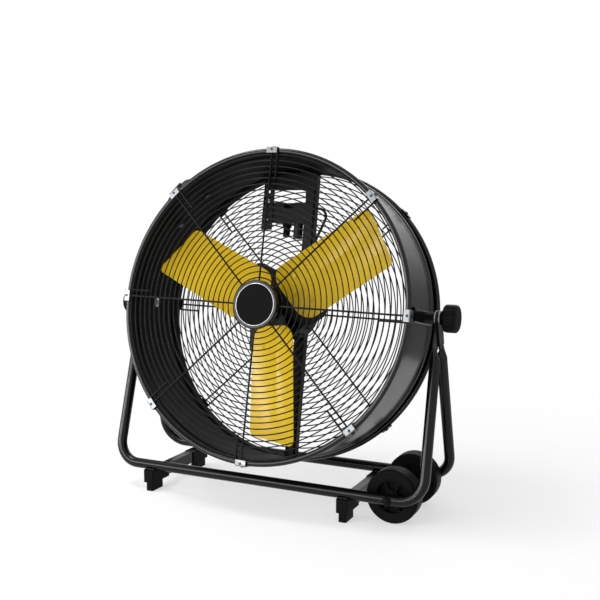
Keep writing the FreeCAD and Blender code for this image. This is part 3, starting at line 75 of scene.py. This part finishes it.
def add(tree, kind, links=None, **settings):
    """Adds a node with its settings; links gives each named input a value or another node's output."""
    node = tree.nodes.new(kind)
    for name, value in settings.items():
        setattr(node, name, value)
    for name, source in (links or {}).items():
        if isinstance(source, bpy.types.NodeSocket):
            tree.links.new(source, node.inputs[name])
        else:
            node.inputs[name].default_value = source
    return node


def seen_directly(tree):
    """1 for rays from the camera, from mirror-like faces and through clear ones; 0 for light on the object."""
    rays = add(tree, "ShaderNodeLightPath")
    straight = add(tree, "ShaderNodeMath",
                   {0: rays.outputs["Is Camera Ray"], 1: rays.outputs["Is Transmission Ray"]},
                   operation="MAXIMUM")
    mirrored_too = add(tree, "ShaderNodeMath", {0: straight.outputs[0], 1: rays.outputs["Is Glossy Ray"]},
                       operation="MAXIMUM")
    return mirrored_too.outputs[0]


# Matt paper: pure white with no shine. Near the fan it shows part of its real shade, so the shadow stays.
paper_reach, paper_drop = 14.0, 0.0004
paper_near, paper_far, paper_shade = 0.3, 1.5, 0.55
floor_mesh = bpy.data.meshes.new("paper_floor")
floor_mesh.from_pydata([(x * paper_reach, y * paper_reach, 0) for x, y in ((-1, -1), (1, -1), (1, 1), (-1, 1))],
                       [], [(0, 1, 2, 3)])
floor = bpy.data.objects.new("paper_floor", floor_mesh)
floor.location.z = -paper_drop
scene.collection.objects.link(floor)
paper = bpy.data.materials.new("matt_white_paper")
paper.use_nodes = True
paper_tree = paper.node_tree
paper_shader = paper_tree.nodes["Principled BSDF"]
paper_shader.inputs["Base Color"].default_value = linear("#fafafa")
paper_shader.inputs["Roughness"].default_value = 0.9
paper_shader.inputs["Specular IOR Level"].default_value = 0.0
on_paper = add(paper_tree, "ShaderNodeTexCoord")
away = add(paper_tree, "ShaderNodeVectorMath", {0: on_paper.outputs["Object"]}, operation="LENGTH")
far = add(paper_tree, "ShaderNodeMapRange",
          {"Value": away.outputs["Value"], "From Min": paper_near, "From Max": paper_far,
           "To Min": paper_shade, "To Max": 1.0}, interpolation_type="SMOOTHSTEP")
share = add(paper_tree, "ShaderNodeMath", {0: far.outputs["Result"], 1: seen_directly(paper_tree)},
            operation="MULTIPLY")
white = add(paper_tree, "ShaderNodeEmission", {"Color": linear("#ffffff"), "Strength": 1.0})
whitened = add(paper_tree, "ShaderNodeMixShader",
               {0: share.outputs[0], 1: paper_shader.outputs[0], 2: white.outputs[0]})
paper_tree.links.new(whitened.outputs[0], paper_tree.nodes["Material Output"].inputs["Surface"])
floor_mesh.materials.append(paper)

# White surround: it shows as white, and lights the fan less than that.
surround_light, surround_shown = 0.62, 1.0
world = bpy.data.worlds.new("white_surround")
world.use_nodes = True
scene.world = world
sky_tree = world.node_tree
sky_tree.nodes.clear()
lit = add(sky_tree, "ShaderNodeBackground", {"Color": linear("#ffffff"), "Strength": surround_light})
shown = add(sky_tree, "ShaderNodeBackground", {"Color": linear("#ffffff"), "Strength": surround_shown})
mixed = add(sky_tree, "ShaderNodeMixShader",
            {0: seen_directly(sky_tree), 1: lit.outputs[0], 2: shown.outputs[0]})
add(sky_tree, "ShaderNodeOutputWorld", {"Surface": mixed.outputs[0]})

# Each lamp: its place and aim, width and height in metres, and power in watts.
for name, place, aim, width, height, power in (
        ("front_left_softbox", (-1.45, -1.95, 0.85), (0, 0, 0.4), 2.4, 0.9, 50.0),
        ("top_softbox", (-0.9, -0.4, 2.3), (0, 0, 0.3), 0.6, 0.6, 18.0),
        ("back_softbox", (0.3, 2.6, 2.0), (0.1, 0, 0.45), 2.0, 0.8, 14.0),
        ("low_front_strip", (0.06, -2.9, 0.205), (0, 0, 0.4), 0.3, 0.08, 5.0),
        ("low_left_strip", (-1.88, -1.2, 0.39), (0, 0, 0.3), 0.12, 0.45, 5.5)):
    lamp = bpy.data.objects.new(name, bpy.data.lights.new(name, "AREA"))
    lamp.data.shape = "RECTANGLE"
    lamp.data.size = width
    lamp.data.size_y = height
    lamp.data.energy = power
    lamp.visible_camera = False
    lamp.location = place
    lamp.rotation_mode = "QUATERNION"
    lamp.rotation_quaternion = (Vector(aim) - Vector(place)).to_track_quat("-Z", "Y")
    scene.collection.objects.link(lamp)

# Matt grey card at the back right. Only reflections see it: it darkens what the drum's right side mirrors,
# and fades out towards its top.
card_left, card_right, card_top = (0.2, 0.95), (1.5, 0.7), 1.0
fade_from, fade_to = 0.4, 0.95
card_mesh = bpy.data.meshes.new("grey_card")
card_mesh.from_pydata([(*card_left, 0), (*card_right, 0), (*card_right, card_top), (*card_left, card_top)],
                      [], [(0, 1, 2, 3)])
card = bpy.data.objects.new("grey_card", card_mesh)
card.visible_camera = card.visible_diffuse = card.visible_shadow = False
scene.collection.objects.link(card)
grey = bpy.data.materials.new("dark_grey_card")
grey.use_nodes = True
card_tree = grey.node_tree
card_shader = card_tree.nodes["Principled BSDF"]
card_shader.inputs["Base Color"].default_value = linear("#8c8c8c")
card_shader.inputs["Roughness"].default_value = 0.9
on_card = add(card_tree, "ShaderNodeTexCoord")
level = add(card_tree, "ShaderNodeSeparateXYZ", {0: on_card.outputs["Object"]})
fade = add(card_tree, "ShaderNodeMapRange",
           {"Value": level.outputs["Z"], "From Min": fade_from, "From Max": fade_to},
           interpolation_type="SMOOTHSTEP")
gone = add(card_tree, "ShaderNodeBsdfTransparent")
faded = add(card_tree, "ShaderNodeMixShader",
            {0: fade.outputs["Result"], 1: card_shader.outputs[0], 2: gone.outputs[0]})
card_tree.links.new(faded.outputs[0], card_tree.nodes["Material Output"].inputs["Surface"])
card_mesh.materials.append(grey)


# Stand tubes and cross bars. Steel tube, bent cold, its ends pressed flat for the pivots; two rectangular
# tubes are welded underneath. Powder coat covers it: satin black, even, with a fine orange peel.
def coat(name, colour, roughness, specular, grain_mm, depth_mm, drift=0.15):
    """Paint or plastic skin: its colour and its gloss drift a little, and a fine grain stands on it."""
    patch_mm, patch_detail, patch_low, patch_high, gloss_drift = 70.0, 4.0, 0.3, 0.7, 0.1
    grain_detail, grain_strength = 2.0, 0.5
    material = bpy.data.materials.new(name)
    material.use_nodes = True
    skin = material.node_tree
    shader = skin.nodes["Principled BSDF"]
    place = add(skin, "ShaderNodeTexCoord")
    cloud = add(skin, "ShaderNodeTexNoise",
                {"Vector": place.outputs["Object"], "Scale": 1000.0 / patch_mm, "Detail": patch_detail})
    tone = linear(colour)
    deep, pale = [[min(1.0, c * (1 + way * drift)) for c in tone[:3]] + [1.0] for way in (-1, 1)]
    tint = add(skin, "ShaderNodeMix", {"Factor": cloud.outputs["Fac"], "A": deep, "B": pale}, data_type="RGBA")
    skin.links.new(tint.outputs["Result"], shader.inputs["Base Color"])
    gloss = add(skin, "ShaderNodeMapRange",
                {"Value": cloud.outputs["Fac"], "From Min": patch_low, "From Max": patch_high,
                 "To Min": roughness * (1 - gloss_drift), "To Max": roughness * (1 + gloss_drift)})
    skin.links.new(gloss.outputs["Result"], shader.inputs["Roughness"])
    peel = add(skin, "ShaderNodeTexNoise",
               {"Vector": place.outputs["Object"], "Scale": 1000.0 / grain_mm, "Detail": grain_detail})
    bump = add(skin, "ShaderNodeBump", {"Height": peel.outputs["Fac"], "Strength": grain_strength,
                                        "Distance": depth_mm / 1000.0})
    skin.links.new(bump.outputs["Normal"], shader.inputs["Normal"])
    shader.inputs["Specular IOR Level"].default_value = specular
    return material


def dress(material, *names):
    """Gives CAD nodes one material."""
    for name in names:
        nodes[name].data.materials.clear()
        nodes[name].data.materials.append(material)


def soften(width_mm, *names):
    """Takes the sharp edges off CAD nodes: a small round of two facets, shaded as one."""
    same_point_mm, sharp_degrees = 0.01, 40
    for name in names:
        joined = nodes[name].modifiers.new("joined_corners", "WELD")
        joined.merge_threshold = same_point_mm / 1000
        eased = nodes[name].modifiers.new("eased_edges", "BEVEL")
        eased.width = width_mm / 1000
        eased.segments = 2
        eased.limit_method = "ANGLE"
        eased.angle_limit = math.radians(sharp_degrees)
        eased.harden_normals = True


def fit(name, mesh, material, body, slot, *replaced):
    """Puts a finished mesh on its body, with its finish and the CAD nodes that it stands for."""
    mesh.polygons.foreach_set("use_smooth", [True] * len(mesh.polygons))
    mesh.materials.append(material)
    piece = bpy.data.objects.new(name, mesh)
    scene.collection.objects.link(piece)
    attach(piece, body)
    for node in replaced:
        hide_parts(node)


def wires(name, runs, thickness, place=Matrix(), ripple=0.0):
    """Mesh of round wire along runs of points in mm, each (points, closed); ripple swells every other point."""
    curve = bpy.data.curves.new(name, "CURVE")
    curve.dimensions = "3D"
    curve.bevel_depth = thickness / 2000
    curve.bevel_resolution = 2
    curve.use_fill_caps = True
    for points, closed in runs:
        spline = curve.splines.new("POLY")
        spline.points.add(len(points) - 1)
        spline.points.foreach_set("co", [c for p in points for c in (*(v / 1000 for v in p), 1.0)])
        spline.points.foreach_set("radius", [1.0 + ripple * (i % 2) for i in range(len(points))])
        spline.use_cyclic_u = closed
    shaped = bpy.data.objects.new(name, curve)
    scene.collection.objects.link(shaped)
    bpy.context.view_layer.update()
    mesh = bpy.data.meshes.new_from_object(shaped.evaluated_get(bpy.context.evaluated_depsgraph_get()))
    bpy.data.objects.remove(shaped)
    mesh.transform(place)
    return mesh


# Satin powder coat: nearly black, with a soft line of light along each tube.
tube_coat = coat("satin_black_powder_coat", "#080808", 0.2, 0.22, 2.2, 0.02)
dress(tube_coat, "front_frame_tube", "rear_frame_tube", "left_cross_bar", "right_cross_bar")
soften(1.2, "left_cross_bar", "right_cross_bar")

# A weld bead runs round each place where a cross bar meets a tube.
tube_radius, tube_y, tube_z = 11.0, 100.0, 56.5
bar_half, weld_width, weld_pitch, weld_steps, weld_ripple = 10.0, 3.0, 2.2, 8, 0.25
for side in ("left", "right"):
    low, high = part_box(side + "_cross_bar")
    bar_x = (low.x + high.x) * 500
    wrap = math.asin(math.sqrt(1 - ((tube_z - high.z * 1000) / tube_radius) ** 2))
    turns = [wrap - 2 * wrap * i / weld_steps for i in range(weld_steps + 1)]
    over_bar = [bar_x + bar_half - weld_pitch * (i + 1) for i in range(int(2 * bar_half / weld_pitch) - 1)]
    loops = []
    for way in (-1, 1):
        arc = [(way * tube_y + tube_radius * math.sin(t), tube_z - tube_radius * math.cos(t)) for t in turns]
        loop = [(bar_x + bar_half, y, z) for y, z in arc]
        loop += [(x, *arc[-1]) for x in over_bar]
        loop += [(bar_x - bar_half, y, z) for y, z in reversed(arc)]
        loop += [(x, *arc[0]) for x in reversed(over_bar)]
        loops.append((loop, True))
    beads = wires(side + "_weld_beads", loops, weld_width, ripple=weld_ripple)
    fit(side + "_weld_beads", beads, tube_coat, "frame", "black_painted_tube")


# Feet. Moulded nylon shoes pushed on the ends of the cross bars, each with a pad that stands on the floor.
# A fine spark-eroded grain leaves the black dull.
foot_nylon = coat("fine_grain_black_nylon", "#0a0a0b", 0.55, 0.06, 0.9, 0.05)
feet = [f"{end}_{side}_foot" for end in ("front", "rear") for side in ("left", "right")]
dress(foot_nylon, *feet)
soften(1.0, *feet)


# Wheels. Solid black polypropylene, moulded with a recess and six ribs on each face, on a plated axle
# that goes through both tubes; push-on caps close its ends and collars keep the wheels by the tubes.
def metal(name, colour, roughness, grain_mm):
    """Bare or plated metal: cloudy shine and a faint grain."""
    material = coat(name, colour, roughness, 0.5, grain_mm, 0.01, 0.08)
    material.node_tree.nodes["Principled BSDF"].inputs["Metallic"].default_value = 1.0
    return material


# Polypropylene: dull black, a little waxy at the edges.
wheel_plastic = coat("black_polypropylene", "#090909", 0.5, 0.07, 1.0, 0.05)
dress(wheel_plastic, "front_wheel", "rear_wheel", "axle_caps")
soften(0.8, "front_wheel", "rear_wheel")

# Two raised rings on each face of a wheel catch a thin line of light.
axle_x, axle_z = 289.5, 56.5
ridge_wire, ridge_radii, ridge_steps = 1.6, (37.0, 50.0), 60
ridge_turns = [2 * math.pi * i / ridge_steps for i in range(ridge_steps)]
for end in ("front", "rear"):
    low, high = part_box(end + "_wheel")
    ridges = [([(axle_x + r * math.cos(t), y * 1000, axle_z + r * math.sin(t)) for t in ridge_turns], True)
              for y in (low.y, high.y) for r in ridge_radii]
    fit(end + "_wheel_ridges", wires(end + "_wheel_ridges", ridges, ridge_wire), wheel_plastic, end + "_wheel",
        "black_moulded_plastic")

# Bright zinc plate: a pale metal, slightly cloudy.
zinc_plate = metal("bright_zinc_plate", "#9a9da0", 0.34, 0.8)
dress(zinc_plate, "wheel_axle", "axle_collars")


# Drum. Thin steel sheet rolled into a ring, with a bead near each end and its edges curled outwards, then
# powder coated. Outside the coat is semi-gloss, so the beads and the curls draw bands of light. Inside, a
# duller and slightly darker copy of the same coat paints the shade within the drum.
drum_coat = coat("semi_gloss_black_drum_coat", "#0b0c0d", 0.22, 0.3, 3.0, 0.003)
dress(drum_coat, "drum_shell")
# Painted shade: faces that look inwards get a dull, darker copy of the drum coat.
nodes["drum_shell"].data.materials.append(coat("shaded_inside_copy_of_drum_coat", "#090909", 0.6, 0.05, 3.0, 0.03))
axis_point, axis = Vector(joints["rotor_spin"]["pos_m"]), Vector(joints["rotor_spin"]["axis"])
faces_in = -0.8
for face in nodes["drum_shell"].data.polygons:
    from_axis = face.center - axis_point
    out = (from_axis - axis * from_axis.dot(axis)).normalized()
    if face.normal.dot(out) < faces_in:
        face.material_index = 1


# Pivots. A folded channel on each side of the drum takes a carriage bolt that goes through a spacer, washers
# and the flattened tube ends into a moulded clamp knob with a scalloped edge.
dress(tube_coat, "left_pivot_plate", "right_pivot_plate", "pivot_spacers")
dress(zinc_plate, "pivot_bolts", "steel_washers")
# Natural nylon: milky and off-white.
dress(coat("natural_nylon", "#c9c7bd", 0.45, 0.4, 0.8, 0.02), "nylon_washers")
# Nylon from a smoother mould than the feet: black, with a soft light on the scallops.
knob_nylon = coat("black_clamp_nylon", "#080909", 0.42, 0.07, 0.9, 0.03)
dress(knob_nylon, "left_clamp_knob", "right_clamp_knob")
soften(1.4, "left_clamp_knob", "right_clamp_knob")


# Motor. Cast bells at both ends of a ribbed can, painted black; a ground shaft in two bearings; iron cores
# inside. The enamel lies on a rough casting, so it is dull and a little uneven.
motor_enamel = coat("black_motor_enamel", "#080809", 0.5, 0.1, 1.6, 0.06)
dress(motor_enamel, "motor_front_bell", "motor_rear_bell", "motor_can")
# Ground steel is a clean, fairly sharp metal; core iron is a dull grey one.
dress(metal("ground_steel", "#a9abad", 0.28, 0.3), "motor_shaft", "front_bearing", "rear_bearing")
dress(metal("plain_core_iron", "#6a6a6c", 0.5, 0.6), "stator_core", "rotor_core")


# Motor bar, strap and switch box. Folded and punched steel, screwed to the drum; the box hangs between the
# bar and the strap. The satin coat is a shade lighter than the drum's.
bracket_coat = coat("satin_black_bracket_coat", "#141415", 0.45, 0.12, 2.0, 0.04)
dress(bracket_coat, "motor_bar", "box_strap", "switch_box", "box_cover")
soften(0.6, "motor_bar", "box_strap", "switch_box", "box_cover")
# Black zinc: dark, with a small sharp glint.
black_zinc = coat("black_zinc_screw", "#0c0c0d", 0.35, 0.35, 0.8, 0.01)
dress(black_zinc, "motor_bolts")


# Strap head plate. A flat steel plate behind the strap's top and in front of the bar, cut to the drum's wall
# and coated as the bar is. It is drawn in the drum's own frame, whose +Y goes to the back along its axis.
pivot = Vector(joints["drum_tilt"]["pos_m"])
lean = Vector((0, 1, 0)).rotation_difference(axis)
drum_frame = Matrix.Translation(pivot) @ lean.to_matrix().to_4x4()
into_drum = drum_frame.inverted()

wall_radius, plate_left, plate_right, plate_low = 317.5, -101.5, 27.5, 278.0
plate_front, plate_back, plate_steps = 76.5, 77.9, 12
rim = [plate_right + (plate_left - plate_right) * i / plate_steps for i in range(plate_steps + 1)]
outline = [(plate_left, plate_low), (plate_right, plate_low)]
outline += [(x, math.sqrt(wall_radius ** 2 - x ** 2)) for x in rim]
count = len(outline)
plate_faces = [tuple(range(count)), tuple(reversed(range(count, 2 * count)))]
plate_faces += [((i + 1) % count, i, count + i, count + (i + 1) % count) for i in range(count)]
plate_mesh = bpy.data.meshes.new("strap_head_plate")
plate_mesh.from_pydata([(x / 1000, y / 1000, z / 1000) for y in (plate_front, plate_back) for x, z in outline],
                       [], plate_faces)
plate_mesh.transform(drum_frame)
fit("strap_head_plate", plate_mesh, bracket_coat, "drum", "black_painted_bracket")
plate_mesh.polygons.foreach_set("use_smooth", [False] * len(plate_mesh.polygons))


# Electrics. A moulded switch and cord gland, a capacitor in a plastic case, a brass spindle with its knob,
# and a rubber-sheathed lead to the motor.
dress(foot_nylon, "rotary_switch", "cord_gland", "speed_knob")
# Case plastic has a faint gloss, brass a warm dull shine, and rubber next to none.
dress(coat("capacitor_case_plastic", "#141415", 0.45, 0.25, 1.0, 0.03), "run_capacitor")
dress(metal("plain_brass", "#b79a5c", 0.35, 0.5), "switch_shaft")
dress(coat("black_rubber_sheath", "#0c0c0c", 0.5, 0.25, 0.8, 0.04), "motor_lead")


# Rotor. Three pressed steel blades, creased along their length and powder coated yellow, riveted to a black
# spider on the motor's shaft. The yellow is semi-gloss, so its bent faces catch the light.
blade_coat = coat("yellow_blade_powder_coat", "#cfac12", 0.2, 0.22, 2.5, 0.015, 0.05)
dress(blade_coat, "fan_blade_1", "fan_blade_2", "fan_blade_3", "blade_rivets")
# Hub enamel: black, between dull and satin.
dress(coat("black_hub_enamel", "#0a0a0b", 0.42, 0.14, 1.8, 0.04), "hub_spider")
dress(zinc_plate, "hub_nut")


# Guards. Round steel wire: rings spot-welded behind radial spokes whose ends double back at the rim, dipped
# in black. The CAD solids have square wires of the same size, and these round ones stand for them.
def depth(node):
    """How far a node of the drum reaches to the front and to the back along the drum's axis, in mm."""
    along = [(into_drum @ corner.co).y * 1000 for corner in nodes[node].data.vertices]
    return min(along), max(along)


def ring(radius, y):
    """Points round a ring of the guard, evenly spaced."""
    spacing, fewest = 8, 48
    count = max(fewest, int(2 * math.pi * radius / spacing))
    turns = [2 * math.pi * i / count for i in range(count)]
    return [(radius * math.cos(t), y, radius * math.sin(t)) for t in turns]


def spoke(turn, y, step):
    """A spoke from the hub ring to the rim, round a hairpin and back for a short way."""
    inner, outer, hairpin, bend, bend_steps = 36.0, 324.0, 56.0, 6.5, 12
    flat = [(inner, 0.0), (outer - bend, 0.0)]
    for i in range(1, bend_steps):
        swing = math.pi * i / bend_steps
        flat.append((outer - bend + bend * math.sin(swing), step / 2 - step / 2 * math.cos(swing)))
    flat += [(outer - bend, step), (outer - hairpin, step)]
    c, s = math.cos(turn), math.sin(turn)
    return [(r * c - w * s, y, r * s + w * c) for r, w in flat]


ring_wire, spoke_wire, weld_sink = 2.6, 4.0, 0.3
first_ring, last_ring, ring_count, hub_ring = 57.0, 315.4, 22, 36.0
hairpin_step = 13.0
spoke_turns = [math.radians(89 - 45 * i) for i in range(8)]
ring_radii = [hub_ring]
ring_radii += [first_ring + (last_ring - first_ring) / (ring_count - 1) * i for i in range(ring_count)]
# Dipped paint: smooth and black, with a thin line of light on each wire.
wire_dip = coat("black_dipped_wire", "#060607", 0.3, 0.12, 1.5, 0.02)
for end, way in (("front", -1), ("rear", 1)):
    guard_face = max(depth(end + "_guard"), key=lambda y: y * way)
    spoke_y = guard_face - way * spoke_wire / 2
    ring_y = guard_face - way * (spoke_wire - weld_sink + ring_wire / 2)
    laid = wires(end + "_guard_rings", [(ring(r, ring_y), True) for r in ring_radii], ring_wire, drum_frame)
    fit(end + "_guard_rings", laid, wire_dip, "drum", "black_coated_wire", end + "_guard")
    drawn = wires(end + "_guard_spokes", [(spoke(t, spoke_y, way * hairpin_step), False) for t in spoke_turns],
                  spoke_wire, drum_frame)
    fit(end + "_guard_spokes", drawn, wire_dip, "drum", "black_coated_wire", end + "_guard")


# Clips. Strips of zinc-plated steel bent over the spoke ends and the curl, punched in the middle of the lip and
# held by a cross-recessed black screw. Zinc gives a pale metal with a soft, cloudy shine; the rear clips are
# given a near-black coat instead.
def turned(profile, steps=40, hollow=False):
    """Points and faces of a piece turned about +Z from (radius, height) in mm; its ends close unless hollow."""
    turns = [2 * math.pi * i / steps for i in range(steps)]
    points = [(r * math.cos(t), r * math.sin(t), h) for r, h in profile for t in turns]
    rows = len(profile)
    faces = []
    for row in range(rows if hollow else rows - 1):
        this, following = row * steps, (row + 1) % rows * steps
        faces += [(this + i, this + (i + 1) % steps, following + (i + 1) % steps, following + i)
                  for i in range(steps)]
    if not hollow:
        faces += [tuple(reversed(range(steps))), tuple(range((rows - 1) * steps, rows * steps))]
    return points, faces


def copies(name, shape, places):
    """Mesh with a shape in mm at every place (point, outward direction) in the drum's frame."""
    points, faces = shape
    mesh = bpy.data.meshes.new(name)
    corners, sides = [], []
    for at, out in places:
        swing = Vector((0, 0, 1)).rotation_difference(out)
        sides += [tuple(len(corners) + i for i in face) for face in faces]
        corners += [(at + swing @ Vector(point)) / 1000 for point in points]
    mesh.from_pydata(corners, [], sides)
    mesh.transform(drum_frame)
    return mesh


def reach(node):
    """Largest distance of a drum node from the drum's axis, in mm."""
    places = [into_drum @ corner.co for corner in nodes[node].data.vertices]
    return max(math.hypot(place.x, place.z) for place in places) * 1000


clip_zinc = metal("passivated_zinc_clip", "#808386", 0.38, 0.8)
dress(clip_zinc, "front_guard_clips")
# The rear clips and their hole rims are drawn near-black in place of zinc.
rear_clip_zinc = coat("near_black_rear_clip_coat", "#0b0b0c", 0.4, 0.2, 0.8, 0.01)
dress(rear_clip_zinc, "rear_guard_clips")
soften(0.4, "front_guard_clips", "rear_guard_clips")

# Screw: a shank and a domed head above a short straight rim, with a cross pressed into it.
head_radius, head_height, head_rim, dome_steps = 4.0, 3.0, 0.4, 12
shank_radius, shank_length = 2.0, 5.0
cross_half, cross_reach, cross_depth = 0.7, 2.5, 1.2
dome = [(head_radius * math.cos(t), head_height * (head_rim + (1 - head_rim) * math.sin(t)))
        for t in (math.pi / 2 * i / dome_steps for i in range(dome_steps))]
points, faces = turned([(shank_radius, -shank_length), (shank_radius, 0), (head_radius, 0)] + dome)
crossed = []
for x, y, z in points:
    narrow, wide = sorted((abs(x), abs(y)))
    sunk = z > head_height / 2 and narrow < cross_half and wide < cross_reach
    crossed.append((x, y, z - cross_depth if sunk else z))

# Hole in the lip: a raised rim of zinc round a dark, slightly dished disc. The disc stands for the black curl
# seen through the hole, darkened further as painted shade.
hole_radius, hole_rim, hole_reach = 2.6, 0.35, 325.5
disc_edge, disc_middle, disc_point = hole_rim / 3, hole_rim / 4, 0.05
punched = turned([(hole_radius + hole_rim, 0), (hole_radius + hole_rim, hole_rim), (hole_radius, hole_rim),
                  (hole_radius, 0)], hollow=True)
filled = turned([(hole_radius, 0), (hole_radius, disc_edge), (hole_radius / 2, disc_middle),
                 (disc_point, disc_middle)])
outward = [Vector((math.cos(t), 0, math.sin(t))) for t in spoke_turns]
for end, way, zinc in (("front", -1, clip_zinc), ("rear", 1, rear_clip_zinc)):
    screws = end + "_clip_screws"
    seat, along = reach(screws) - head_height, sum(depth(screws)) / 2
    heads = copies(end + "_cross_screws", (crossed, faces),
                   [(out * seat + Vector((0, along, 0)), out) for out in outward])
    fit(end + "_cross_screws", heads, black_zinc, "drum", "black_screws", screws)
    lip = max(depth(end + "_guard_clips"), key=lambda y: y * way)
    lips = [(out * hole_reach + Vector((0, lip, 0)), Vector((0, way, 0))) for out in outward]
    fit(end + "_clip_rims", copies(end + "_clip_rims", punched, lips), zinc, "drum", "zinc_plated_clip")
    fit(end + "_clip_holes", copies(end + "_clip_holes", filled, lips), black_zinc, "drum", "black_screws")
dress(black_zinc, "bar_screws", "handle_screws")


# Badge. A round ABS dish screwed to the spokes, with a plain insert and a thin bright ring pressed round it.
# The dish is polished and the insert matt, so they part from each other. It carries no lettering.
dress(coat("polished_black_abs", "#08080a", 0.2, 0.2, 2.5, 0.01), "badge_bezel")
dress(coat("matt_black_abs_insert", "#060607", 0.6, 0.05, 0.6, 0.01), "badge_plate")
badge_front = depth("badge_bezel")[0]
trim_radius, trim_wire = 43.6, 1.4
trim = wires("badge_trim_ring", [(ring(trim_radius, badge_front + trim_wire / 4), True)], trim_wire, drum_frame)
# Bright trim: a clean, pale metal that draws a thin circle of light.
fit("badge_trim_ring", trim, metal("bright_trim_ring", "#c4c6c8", 0.3, 0.6), "drum", "badge_plastic")


# Handle. A bent steel rod, powder coated, with a sleeve of soft rubber on its crown. The sleeve is moulded with
# rings for the fingers; the rubber is dull and dark.
dress(tube_coat, "handle_bow")
grip_length, grip_radius, grip_bore, grip_ribs, rib_depth, rib_points = 36.0, 11.0, 6.1, 8, 1.0, 8
waves = [i / (grip_ribs * rib_points) for i in range(grip_ribs * rib_points + 1)]
sleeve = [(grip_radius - rib_depth / 2 - rib_depth / 2 * math.cos(2 * math.pi * grip_ribs * w),
           grip_length * (w - 0.5)) for w in waves]
sleeve += [(grip_bore, grip_length / 2), (grip_bore, -grip_length / 2)]
grip_corners = [into_drum @ corner.co * 1000 for corner in nodes["handle_grip"].data.vertices]
grip_middle = sum(grip_corners, Vector()) / len(grip_corners)
grip_along = Vector((-grip_middle.z, 0, grip_middle.x)).normalized()
grip_rubber = coat("black_grip_rubber", "#0d0d0d", 0.6, 0.1, 0.8, 0.06)
fit("handle_sleeve", copies("handle_sleeve", turned(sleeve, hollow=True), [(grip_middle, grip_along)]),
    grip_rubber, "drum", "grip_rubber", "handle_grip")
